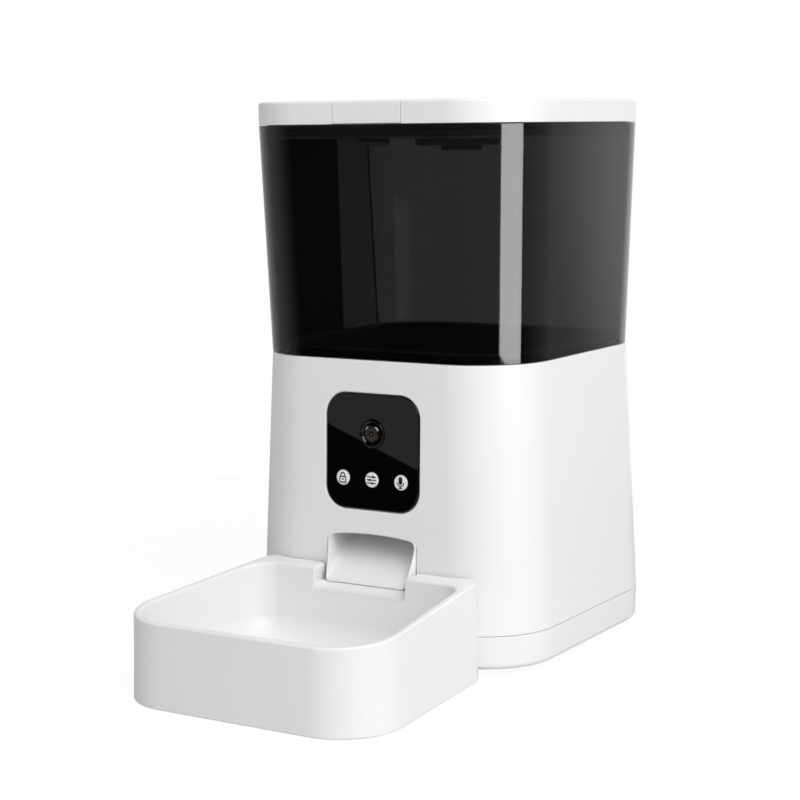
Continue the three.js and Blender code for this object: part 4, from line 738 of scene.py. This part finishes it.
def make_shell():
    """The hollow body with a ledge for the deck, the panel's recess, the chute's mouth and the inlet's hole."""
    bottom = SEAM + GAP
    top = SHELL_TOP - SHELL_EDGE
    rings = [at(square_plan(shell_half(bottom)), bottom), at(square_plan(shell_half(top)), top)]
    rings += [at(square_plan(SHELL_TOP_HALF, inset), z) for inset, z in round_over(0, top, SHELL_EDGE)]
    ledge_low = LEDGE_TOP - LEDGE_HEIGHT
    rings += [at(square_plan(shell_half(z), inset), z) for z, inset in (
        (SHELL_TOP, SHELL_WALL), (LEDGE_TOP, SHELL_WALL), (LEDGE_TOP, SHELL_WALL + LEDGE_REACH),
        (ledge_low, SHELL_WALL + LEDGE_REACH), (ledge_low, SHELL_WALL), (bottom, SHELL_WALL))]
    shell = skin("body_shell_fine", rings, closed=True)
    recess = skin("recess", [panel_ring(y, GAP) for y in (PANEL_RECESS, -OVERRUN)], where=on_face)
    chamfer = skin("chamfer", [panel_ring(y, RECESS_CHAMFER - y + GAP)
                               for y in (RECESS_CHAMFER, -OVERRUN)], where=on_face)
    low = LIP_TOP - CHUTE_TIP - GAP
    outline = [(-MOUTH_HALF, low), (MOUTH_HALF, low),
               *arched(MOUTH_HALF, MOUTH_TOP - MOUTH_ARCH, MOUTH_ARCH)]
    mouth = slab("mouth", outline, -SHELL_BOTTOM_HALF - OVERRUN, -SHELL_TOP_HALF + 2 * SHELL_WALL, where=place)
    inlet = slab("inlet", circle(*INLET_PLACE, INLET_RADIUS), SHELL_TOP_HALF - 3 * SHELL_WALL,
                 SHELL_BOTTOM_HALF + OVERRUN, where=place)
    carve(shell, recess, chamfer, *face_holes(SHELL_WALL), mouth, inlet)
    dress(soften(shell, EDGES["body_shell"]), "base", "white_plastic", "body_shell")


def make_chute():
    """A duct whose stations fan out from the flat top under the outlet to the leaning mouth."""
    steps, side_steps, flare_steps = 16, 8, 2
    wall_top = MOUTH_TOP - MOUTH_ARCH - GAP
    front_y = -shell_half(wall_top)
    roof = [Vector((front_y, wall_top)), Vector((front_y + SHELL_WALL + GAP, wall_top)),
            Vector((ROOF_TOP_Y, CHUTE_TOP))]
    spans = [(roof[1] - roof[0]).length, (roof[2] - roof[1]).length]
    lip, top = Vector((LIP_Y, LIP_TOP)), Vector((SLIDE_TOP_Y, CHUTE_TOP))
    sag = Vector((top.y - lip.y, -(top.x - lip.x))).normalized() * CHUTE_SAG

    def roof_at(share):
        run = share * sum(spans)
        if run <= spans[0]:
            return roof[0].lerp(roof[1], run / spans[0])
        return roof[1].lerp(roof[2], (run - spans[0]) / spans[1])

    def section(share, grow, tip, flare=0.0):
        low = lip.lerp(top, share) + sag * 4 * share * (1 - share)
        high = roof_at(share)
        up = (high - low).normalized()
        low, high = low - up * tip, high + up * grow
        height = (high - low).length
        half = CHUTE_HALF + grow + flare
        foot = MOUTH_CORNER / 2
        side = [foot + (height - MOUTH_CORNER - foot) * i / side_steps for i in range(1, side_steps)]
        shape = [*arc(half - foot, foot, foot, -QUARTER, 0, side_steps), *[(half, rise) for rise in side],
                 *arched(half, height, MOUTH_ARCH * (1 - share)), *[(-half, rise) for rise in side[::-1]],
                 *arc(-half + foot, foot, foot, 2 * QUARTER, 3 * QUARTER, side_steps)]
        points = []
        for x, rise in shape:
            spot = low + up * rise
            hollow = math.sin(math.pi * min(max(rise / height, 0), 1)) if share == 0 else 0
            outside = min(max((front_y - spot.x) / (front_y - LIP_Y), 0), 1)
            narrowing = outside * (CHUTE_HALF - CHUTE_LIP_HALF)
            points.append((x * (1 - narrowing / half), spot.x + CHUTE_SETBACK * hollow, spot.y))
        return points

    outer = [section(i / steps, CHUTE_WALL, CHUTE_TIP if i == 0 else CHUTE_FLOOR) for i in range(steps + 1)]
    inner = [section(i / steps, 0, 0, CHUTE_FLARE * max(1 - i / flare_steps, 0) ** 2)
             for i in range(steps + 1)]
    chute = face_outwards(skin("chute_fine", [*reversed(inner), *outer], closed=True))
    dress(soften(chute, EDGES["chute"]), "base", "white_plastic", "chute")


def make_panel():
    front = [panel_ring(PANEL_EDGE - rise, -inset) for inset, rise in round_over(0, 0, PANEL_EDGE)]
    plate = skin("front_panel_fine", [panel_ring(PANEL_THICKNESS, 0), panel_ring(PANEL_EDGE, 0), *front],
                 where=on_face)
    carve(plate, *face_holes(PANEL_THICKNESS))
    return dress(soften(plate, EDGES["front_panel"]), "base", "gloss_black", "front_panel")


def turned(name, profile, x, rise, closed=False, steps=72):
    """A round body on the face from (radius, depth) pairs."""
    rings = [[(x + radius * math.cos(2 * math.pi * i / steps), depth,
               rise - radius * math.sin(2 * math.pi * i / steps)) for i in range(steps)]
             for radius, depth in profile]
    return face_outwards(skin(name, rings, closed=closed, where=on_face))


def make_camera():
    """A bezel that slopes down to the lens on its inner side, and a domed lens."""
    ring = [(LENS_RADIUS + GAP, LENS_SEAT - GAP), (LENS_RADIUS + GAP, 0.6), (LENS_RADIUS + 0.9, -0.1),
            (BEZEL_RADIUS - 1.2, -BEZEL_PROUD), (BEZEL_RADIUS - 0.5, -BEZEL_PROUD),
            (BEZEL_RADIUS - 0.12, -0.55), (BEZEL_RADIUS, -0.2), (BEZEL_RADIUS, LENS_SEAT - GAP)]
    bezel = turned("camera_bezel_fine", ring, 0, LENS_RISE, closed=True)
    dress(soften(bezel, EDGES["camera_bezel"]), "base", "gloss_black", "camera_bezel")
    dome = [(LENS_RADIUS * math.sin(turn), -LENS_DOME * math.cos(turn)) for turn in quarter_turn(10)[1:]]
    glass = turned("camera_lens_fine", [*dome, (LENS_RADIUS, LENS_SEAT - GAP)], 0, LENS_RISE)
    dress(soften(glass, EDGES["camera_lens"]), "base", "lens_glass", "camera_lens")


def make_icon(name, shapes, x, body):
    """Inks closed outlines of (across, up) points on a button's front."""
    vertices, faces = [], []
    for outline in shapes:
        start = len(vertices)
        count = len(outline)
        for depth in (-BUTTON_PROUD - ICON_PROUD, -BUTTON_PROUD + ICON_SUNK):
            vertices += [on_face((x + u * ICON_SCALE, depth, -BUTTON_DROP + v * ICON_SCALE))
                         for u, v in outline]
        faces.append(tuple(start + i for i in range(count)))
        faces.append(tuple(start + count + i for i in reversed(range(count))))
        faces += [(start + i, start + count + i, start + count + (i + 1) % count, start + (i + 1) % count)
                  for i in range(count)]
    dress(face_outwards(piece(name, vertices, faces)), body, ICON_INK)


def band(path, half_width):
    """A closed outline of even width round an open path."""
    left, right = [], []
    for i, (u, v) in enumerate(path):
        ahead = Vector(path[min(i + 1, len(path) - 1)]) - Vector(path[max(i - 1, 0)])
        side = Vector((-ahead.y, ahead.x)).normalized() * half_width
        left.append((u + side.x, v + side.y))
        right.append((u - side.x, v - side.y))
    return left + right[::-1]


def make_buttons():
    """Three caps with a slightly crowned front, a flange behind the wall and a nub, and their inked symbols."""
    front, back = BUTTON_FLANGE_Y
    profile = [(BUTTON_RADIUS - 1.5, -BUTTON_PROUD), (BUTTON_RADIUS - 0.5, -BUTTON_PROUD + 0.03),
               (BUTTON_RADIUS - 0.12, -BUTTON_PROUD + 0.14), (BUTTON_RADIUS, -BUTTON_PROUD + 0.4),
               (BUTTON_RADIUS, front), (BUTTON_RADIUS + BUTTON_FLANGE, front),
               (BUTTON_RADIUS + BUTTON_FLANGE, back), (BUTTON_NUB, back), (BUTTON_NUB, BUTTON_BACK)]
    for node, body, x in zip(BUTTON_NODES, BUTTON_BODIES, BUTTON_XS):
        cap = turned(f"{node}_fine", profile, x, -BUTTON_DROP)
        dress(soften(cap, EDGES["button"]), body, "white_plastic", node)

    body = [(u, v - 0.75) for u, v in rounded_plan(1.35, 1.1, 0.35, 4)]
    padlock = [band([*body, body[0]], 0.22), circle(0, -0.65, 0.36, 12),
               band([(-0.9, 0.3), *arc(0, 0.95, 0.9, math.pi, 0, 12), (0.9, 0.3)], 0.24)]
    make_icon("icon_padlock", padlock, BUTTON_XS[0], BUTTON_BODIES[0])

    sliders = []
    for v, knob in ((1.2, 0.7), (0, -0.8), (-1.2, 0.3)):
        sliders.append(band([(-2.1, v), (2.1, v)], 0.2))
        sliders.append(circle(knob, v, 0.52, 14))
    make_icon("icon_sliders", sliders, BUTTON_XS[1], BUTTON_BODIES[1])

    capsule = arc(0, 1.45, 0.84, 0, math.pi, 10) + arc(0, 0.05, 0.84, math.pi, 2 * math.pi, 10)
    cradle = band(arc(0, 0.05, 1.42, math.pi, 2 * math.pi, 14), 0.2)
    stem = band([(0, -1.3), (0, -2.1)], 0.3)
    stand = band([(-0.85, -2.1), (0.85, -2.1)], 0.2)
    make_icon("icon_microphone", [capsule, cradle, stem, stand], BUTTON_XS[2], BUTTON_BODIES[2])


def make_feet():
    profile = [(FOOT_RADIUS - 2.4, 0.5), (FOOT_RADIUS - 2.1, 0.12), (FOOT_RADIUS - 1.6, 0),
               (FOOT_RADIUS - 0.8, 0), (FOOT_RADIUS - 0.25, 0.25), (FOOT_RADIUS, 0.8),
               (FOOT_RADIUS, FOOT_HEIGHT + FOOT_POCKET)]
    for i, (sx, sy) in enumerate(FOUR_CORNERS):
        rings = [at(circle(sx * FOOT_PLACE[0], sy * FOOT_PLACE[1], radius), z) for radius, z in profile]
        dress(soften(skin(f"foot_{i + 1}_fine", rings), 0), "base", "grey_rubber", f"foot_{i + 1}")


def make_tank():
    """The clear walls with the flange, the skirt that enters the shell, and the catch for the latch."""
    bottom = SHELL_TOP + GAP
    flange_top = bottom + FLANGE_THICKNESS
    skirt_out = SHELL_WALL + SKIRT_PLAY
    skirt_in = skirt_out + SKIRT_WALL
    low_half = tank_half(bottom)
    top = TANK_TOP - TANK_EDGE
    walls = [(0, bottom), (0, top), *round_over(0, top, TANK_EDGE)]
    rings = [at(square_plan(tank_half(z), inset), z) for inset, z in walls]
    rings += [at(square_plan(tank_half(z), TANK_WALL), z) for z in (TANK_TOP, flange_top)]
    rings += [at(square_plan(low_half, inset), z) for inset, z in (
        (TANK_WALL + TANK_FLANGE, flange_top), (TANK_WALL + TANK_FLANGE, bottom), (skirt_in, bottom),
        (skirt_in, DECK_TOP + GAP), (skirt_out, DECK_TOP + GAP), (skirt_out, bottom))]
    tank = skin("hopper_tank_fine", rings, closed=True)
    inner = -(tank_half(CATCH_TOP) - TANK_WALL)
    catch = box("catch", (-CATCH_HALF, CATCH_HALF), (inner - TANK_WALL / 2, inner + CATCH_DEPTH),
                (CATCH_TOP - CATCH_HEIGHT, CATCH_TOP))
    return dress(soften(join(tank, catch), EDGES["hopper_tank"]), "tank", "smoked_plastic", "hopper_tank")


def make_lid():
    """The cover with its plug and keeper, the latch's rails and stop, and the slotted desiccant cup."""
    half = TANK_TOP_HALF
    bottom = TANK_TOP + GAP
    under = LID_TOP - LID_WALL
    front = -half
    wide = LATCH_HALF + LATCH_SIDE_GAP
    leg_back = front + LATCH_PLATE + LATCH_LEG + LATCH_TRAVEL + GAP
    tongue_back = front + LATCH_PLATE + TONGUE_REACH
    tongue_low = under - GAP - TONGUE_THICKNESS
    rail_low = tongue_low - GAP - RAIL
    root = under + LID_WALL / 2

    walls = [(under, LID_WALL), (bottom, LID_WALL), (bottom, 0), (LID_TOP - LID_EDGE, 0)]
    rings = [at(square_plan(half, inset), z) for z, inset in walls]
    rings += [at(square_plan(half, inset), z) for inset, z in round_over(0, LID_TOP - LID_EDGE, LID_EDGE, 6)]
    cover = skin("lid_fine", rings)
    keeper_low = PLUG_BOTTOM - KEEPER_HEIGHT
    plug = skin("plug", [at(square_plan(PLUG_HALF, inset), z) for z, inset in (
        (keeper_low, KEEPER_OUTSIDE), (PLUG_BOTTOM, KEEPER_OUTSIDE), (PLUG_BOTTOM, PLUG_OUTSIDE),
        (root, PLUG_OUTSIDE), (root, PLUG_INSIDE), (keeper_low, PLUG_INSIDE))], closed=True)
    join(cover, plug)
    leg_cut = box("leg_cut", (-wide, wide), (front - OVERRUN, leg_back), (under - GAP, LID_TOP + OVERRUN))
    tab_cut = box("tab_cut", (-wide, wide), (front - OVERRUN, front + LID_WALL + OVERRUN),
                  (bottom - OVERRUN, LID_TOP))
    slot = box("slot", (-TONGUE_HALF - GAP, TONGUE_HALF + GAP), (front, PLUG_INSIDE - PLUG_HALF + OVERRUN),
               (tongue_low - GAP, LID_TOP - LID_WALL / 2))
    for cut in (leg_cut, tab_cut, slot):
        carve(cover, cut)

    fittings = []
    near = TONGUE_HALF + GAP
    for side in (-1, 1):
        web = sorted((side * near, side * (near + RAIL)))
        foot = sorted((side * (near - RAIL_FOOT), side * (near + RAIL)))
        fittings.append(box(f"rail_{side}", web, (leg_back, tongue_back), (rail_low, root)))
        fittings.append(box(f"rail_foot_{side}", foot, (leg_back, tongue_back), (rail_low, rail_low + RAIL)))
    stop_front = tongue_back + SPRING_LENGTH + 2 * GAP
    fittings.append(box("stop", (-STOP_HALF, STOP_HALF), (stop_front, stop_front + STOP_THICKNESS),
                        (rail_low, root)))
    cup_low = under - CUP_DEPTH
    cup = skin("cup", [at(circle(0, CUP_Y, radius, 96), z) for z, radius in (
        (cup_low, CUP_RADIUS), (root, CUP_RADIUS), (root, CUP_RADIUS - CUP_WALL),
        (cup_low, CUP_RADIUS - CUP_WALL))], closed=True)
    windows = []
    for i in range(CUP_SLOTS // 2):
        window = box(f"window_{i}", (-CUP_RADIUS - OVERRUN, CUP_RADIUS + OVERRUN),
                     (-CUP_SLOT_HALF, CUP_SLOT_HALF), (cup_low + CUP_EDGE, under - CUP_EDGE))
        turn = Matrix.Rotation(2 * math.pi * (i + 0.5) / CUP_SLOTS, 4, "Z")
        window.data.transform(Matrix.Translation(place((0, CUP_Y, 0))) @ turn
                              @ Matrix.Translation(-place((0, 0, 0))))
        windows.append(window)
    fittings.append(carve(cup, *windows))
    join(cover, *fittings)
    dress(soften(cover, EDGES["lid"]), "lid", "white_plastic", "lid")


def make_latch_spring():
    """The coil between the latch's tongue and the lid's stop."""
    tongue_back = -TANK_TOP_HALF + LATCH_PLATE + TONGUE_REACH
    centre = LID_TOP - LID_WALL - GAP - SPRING_RADIUS - SPRING_WIRE
    start = tongue_back + GAP + SPRING_WIRE
    run = SPRING_LENGTH - 2 * SPRING_WIRE
    count = SPRING_STEPS * SPRING_TURNS
    rings = []
    for i in range(count + 1):
        angle = 2 * math.pi * SPRING_TURNS * i / count
        out = Vector((math.cos(angle), 0, math.sin(angle)))
        middle = out * SPRING_RADIUS + Vector((0, start + run * i / count, centre))
        rings.append([middle + out * SPRING_WIRE * u + Vector((0, SPRING_WIRE * v, 0))
                      for u, v in circle(0, 0, 1, 10)])
    spring = soften(face_outwards(skin("latch_spring_fine", rings)), 0)
    dress(spring, "lid", "steel", "latch_spring")
    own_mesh(spring)


def bowl_outline(inset, front_corner, rear, rear_corner):
    """A plan of the bowl whose front and sides lie further in by the inset."""
    wide, narrow, front = BOWL_FRONT_HALF - inset, BOWL_REAR_HALF - inset, BOWL_FRONT + inset
    return rounded_polygon([(wide, front, front_corner), (narrow, rear, rear_corner),
                            (-narrow, rear, rear_corner), (-wide, front, front_corner)])


def bowl_plan(grow):
    return bowl_outline(-grow, BOWL_FRONT_CORNER + grow, BOWL_REAR, BOWL_REAR_CORNER)


def cavity_plan(inset):
    """The cavity's plan. Its front corners grow tighter with the inset, but slowly."""
    rear = -(SHELL_BOTTOM_HALF + BOWL_CLEAR + BOWL_REAR_WALL) - inset
    corner = max(BOWL_FRONT_CORNER - BOWL_WALL - inset * CAVITY_TIGHTENING, 1)
    return bowl_outline(BOWL_WALL + inset, corner, rear, CAVITY_CORNER)


def rim_height(y):
    return BOWL_RIM_FRONT + BOWL_RIM_SLOPE * (y - BOWL_FRONT)


def follow_rim(outline, drop=0):
    return [(x, y, rim_height(y) - drop) for x, y in outline]


def make_notch():
    """What the notch takes away, down to a seat under the lip and a ramp, with sides rounded at the rim."""
    seat = LIP_TOP - CHUTE_TIP - GAP
    edge = LIP_Y - GAP
    high = BOWL_RIM_FRONT + BOWL_FLOOR_ROUND * 2
    stations = ((0, seat), (edge, seat), (edge - NOTCH_RUN, seat - NOTCH_DROP),
                (edge - 3 * NOTCH_RUN, seat - NOTCH_DROP))
    rings = []
    for y, low in stations:
        rim = rim_height(min(y, BOWL_REAR))
        flare = [(NOTCH_HALF + spread, rim - drop) for spread, drop in fillet(NOTCH_ROUND, 6)]
        side = [(NOTCH_HALF, low), *flare, (NOTCH_HALF + NOTCH_ROUND, high)]
        rings.append([(x, y, z) for x, z in side] + [(-x, y, z) for x, z in reversed(side)])
    return face_outwards(skin("notch", rings))


def make_bowl():
    """One skin up the outside, over the sloping rim and down to the floor, less body, notch and underside."""
    foot_step = 0.3
    rings = [at(bowl_plan(BOWL_DRAFT - BOWL_FOOT_EDGE), 0), at(bowl_plan(BOWL_DRAFT - foot_step), foot_step),
             at(bowl_plan(BOWL_DRAFT), BOWL_FOOT_EDGE), follow_rim(bowl_plan(0), BOWL_OUTER_ROUND)]
    rings += [follow_rim(bowl_plan(-inset), drop) for inset, drop in fillet(BOWL_OUTER_ROUND, 5)[1:]]
    rings += [follow_rim(cavity_plan(-inset), drop) for drop, inset in fillet(BOWL_INNER_ROUND, 5)]
    rings += [at(cavity_plan(inset), BOWL_FLOOR_TOP + rise) for inset, rise in fillet(BOWL_FLOOR_ROUND, 8)]
    bowl = skin("bowl_fine", rings)
    body_space = skin("body_space", [at(square_plan(SHELL_BOTTOM_HALF, -BOWL_CLEAR), z)
                                     for z in (-OVERRUN, LID_TOP)])
    rear = -(SHELL_BOTTOM_HALF + BOWL_CLEAR + BOWL_SKIRT)
    under = bowl_outline(BOWL_SKIRT, BOWL_FRONT_CORNER - BOWL_SKIRT, rear, HOLLOW_CORNER)
    hollow = skin("hollow", [at(under, z) for z in (-OVERRUN, BOWL_UNDERSIDE)])
    carve(bowl, body_space, make_notch(), hollow)
    dress(soften(bowl, EDGES["bowl"], angle=BOWL_EDGE_ANGLE), "bowl", "white_plastic", "bowl")
    half, reach = BOWL_TONGUE
    tongue = box("bowl_tongue", (-half, half), (rear, reach - SHELL_BOTTOM_HALF), BOWL_TONGUE_Z)
    dress(soften(tongue, EDGES["bowl_tongue"]), "bowl", "white_plastic")


def make_camera_view():
    data = bpy.data.cameras.new("camera")
    data.lens = CAMERA_LENS
    data.sensor_width = CAMERA_SENSOR
    camera = bpy.data.objects.new("camera", data)
    turn = Matrix((CAMERA_RIGHT, CAMERA_UP, -Vector(CAMERA_AHEAD))).transposed()
    camera.matrix_world = Matrix.Translation(CAMERA_PLACE) @ turn.to_4x4()
    bpy.context.scene.collection.objects.link(camera)
    bpy.context.scene.camera = camera


def area_light(name, centre, target, size, radiance, roll=0):
    """A flat lamp facing its target. Its size is in metres and its radiance 1 is as bright as white paper."""
    width, height = size
    data = bpy.data.lights.new(name, "AREA")
    data.shape = "RECTANGLE"
    data.size = width
    data.size_y = height
    data.energy = radiance * math.pi * width * height
    lamp = bpy.data.objects.new(name, data)
    aim = (Vector(target) - Vector(centre)).to_track_quat("-Z", "Y").to_matrix().to_4x4()
    lamp.matrix_world = Matrix.Translation(centre) @ aim @ Matrix.Rotation(math.radians(roll), 4, "Z")
    lamp.visible_camera = False
    bpy.context.scene.collection.objects.link(lamp)
    return lamp


def light_only(lamp, *pieces):
    """Lets a lamp reach no more than the given pieces."""
    group = bpy.data.collections.new(f"{lamp.name}_receivers")
    for obj in pieces:
        group.objects.link(obj)
    lamp.light_linking.receiver_collection = group


def make_world():
    """White where the camera looks, a dark front and pale sides in the gloss, soft light for the rest."""
    nodes = Nodes("studio", bpy.data.worlds)
    bpy.context.scene.world = nodes.owner
    ray = nodes.add("ShaderNodeLightPath").outputs

    def facing(towards, low, high, value_low, value_high):
        """A level that goes from value_low to value_high as the direction turns towards the given one."""
        dot = nodes.add("ShaderNodeVectorMath", {0: nodes.direction, 1: Vector(towards).normalized()},
                        operation="DOT_PRODUCT")
        return nodes.span(dot.outputs["Value"], value_low, value_high, low, high,
                          interpolation_type="SMOOTHSTEP")

    def mixed(factor, first, second):
        return nodes.add("ShaderNodeMix", {0: factor, 2: first, 3: second}).outputs[0]

    # Matt faces get soft light from all sides. In reflections the left and the rear are pale, the front dark.
    soft = facing((-0.35, -1, 0.45), -0.6, 1, 0.43, 0.56)
    left = facing((-0.906, 0.423, 0), 0.17, 0.8, 0.0, 0.42)
    rear = nodes.math("ADD", facing((0, 1, 0), -0.1, 0.9, 0.01, 0.3),
                      facing((0, 1, 0), 0.886, 0.911, 0.0, 0.85))
    level = mixed(ray["Is Glossy Ray"], soft, nodes.math("ADD", left, rear))
    level = mixed(ray["Is Transmission Ray"], level, 1.0)
    nodes.link(mixed(ray["Is Camera Ray"], level, 1.0), "Strength")
    nodes.fix(Color=(1, 1, 1, 1))


def make_floor():
    """A pale disc that is white to the camera but for the object's faint shadow."""
    floor = skin("floor", [at(circle(0, 0, FLOOR_RADIUS, 96), z) for z in FLOOR_Z],
                 where=lambda point: Vector(point) * MM)
    nodes = Nodes("floor")
    nodes.link(nodes.blend(nodes.noise(3), grey(0.64), grey(0.66)), "Base Color")
    nodes.fix(Roughness=0.9)
    ray = nodes.add("ShaderNodeLightPath")
    glow = nodes.add("ShaderNodeEmission", {"Strength": 1.06})
    share = nodes.math("MULTIPLY", ray.outputs["Is Camera Ray"], 0.88)
    nodes.surface(share, nodes.shader.outputs["BSDF"], glow.outputs["Emission"])
    floor.data.materials.append(nodes.owner)


def make_painted_shade_strips():
    """Two dark strips and a grey one behind the left side, which glow as painted shade and painted light and
    show only through the smoked tank.
    """
    vertices = [place((SHADE_STRIPS_X, y, z)) for ys in SHADE_STRIPS_EDGES for y, z in zip(ys, SHADE_STRIPS_Z)]
    flag = piece("flag", vertices, [(2 * i, 2 * i + 2, 2 * i + 3, 2 * i + 1)
                                    for i in range(len(SHADE_STRIPS_GLOW))])
    for i, level in enumerate(SHADE_STRIPS_GLOW):
        nodes = Nodes(f"flag_{i}")
        depth = nodes.add("ShaderNodeLightPath").outputs["Transparent Depth"]
        seen = nodes.math("GREATER_THAN", depth, 0.5)
        clear = nodes.add("ShaderNodeBsdfTransparent")
        # Each strip glows at its level only where it is seen through the tank: painted shade, and painted light
        # for the grey one
        glow = nodes.add("ShaderNodeEmission", {"Strength": level})
        nodes.surface(seen, clear.outputs["BSDF"], glow.outputs["Emission"])
        flag.data.materials.append(nodes.owner)
        flag.data.polygons[i].material_index = i
    for ray in ("diffuse", "glossy", "transmission", "volume_scatter", "shadow"):
        setattr(flag, f"visible_{ray}", False)


def make_studio(panel, tank):
    """Camera, surroundings and lamps. One lamp makes the upright strip in the tank, one the panel's slant."""
    make_camera_view()
    make_world()
    make_floor()
    # Painted shade and painted light in the tank, from glowing strips beyond the left side
    make_painted_shade_strips()
    right_corner, side_size = (0.085, -0.01, 0.155), (0.54, 0.31)
    area_light("side", (0.902, -0.242, 0.155), right_corner, side_size, 1.5)
    strip = area_light("side_gloss", (0.892, -0.239, 0.155), right_corner, side_size, 10.3)
    light_only(strip, tank)
    area_light("key", (0.92, -0.53, 1.05), (0, -0.05, 0.1), (1.2, 1.2), 3.35)
    slant = area_light("panel_card", (-0.468, -0.887, 0.163), (0, -0.026, 0.122), (0.6, 0.3), 0.42, roll=-26)
    light_only(slant, panel)
    bpy.context.scene.view_settings.view_transform = "Standard"


def dress_cad_nodes():
    """Every CAD node that stays gets its slot's finish."""
    for name, obj in frame["nodes"].items():
        if not obj.material_slots:
            obj.data.materials.append(None)
        for slot in obj.material_slots:
            slot.material = MATERIALS[SLOT_OF[name]]


dress_cad_nodes()
make_tray()
make_shell()
make_chute()
front_panel = make_panel()
make_camera()
make_buttons()
make_feet()
tank = make_tank()
make_lid()
make_latch_spring()
make_bowl()
for refined_node, edge_width in REFINED_EDGES.items():
    make_refined(refined_node, edge_width)
make_studio(front_panel, tank)
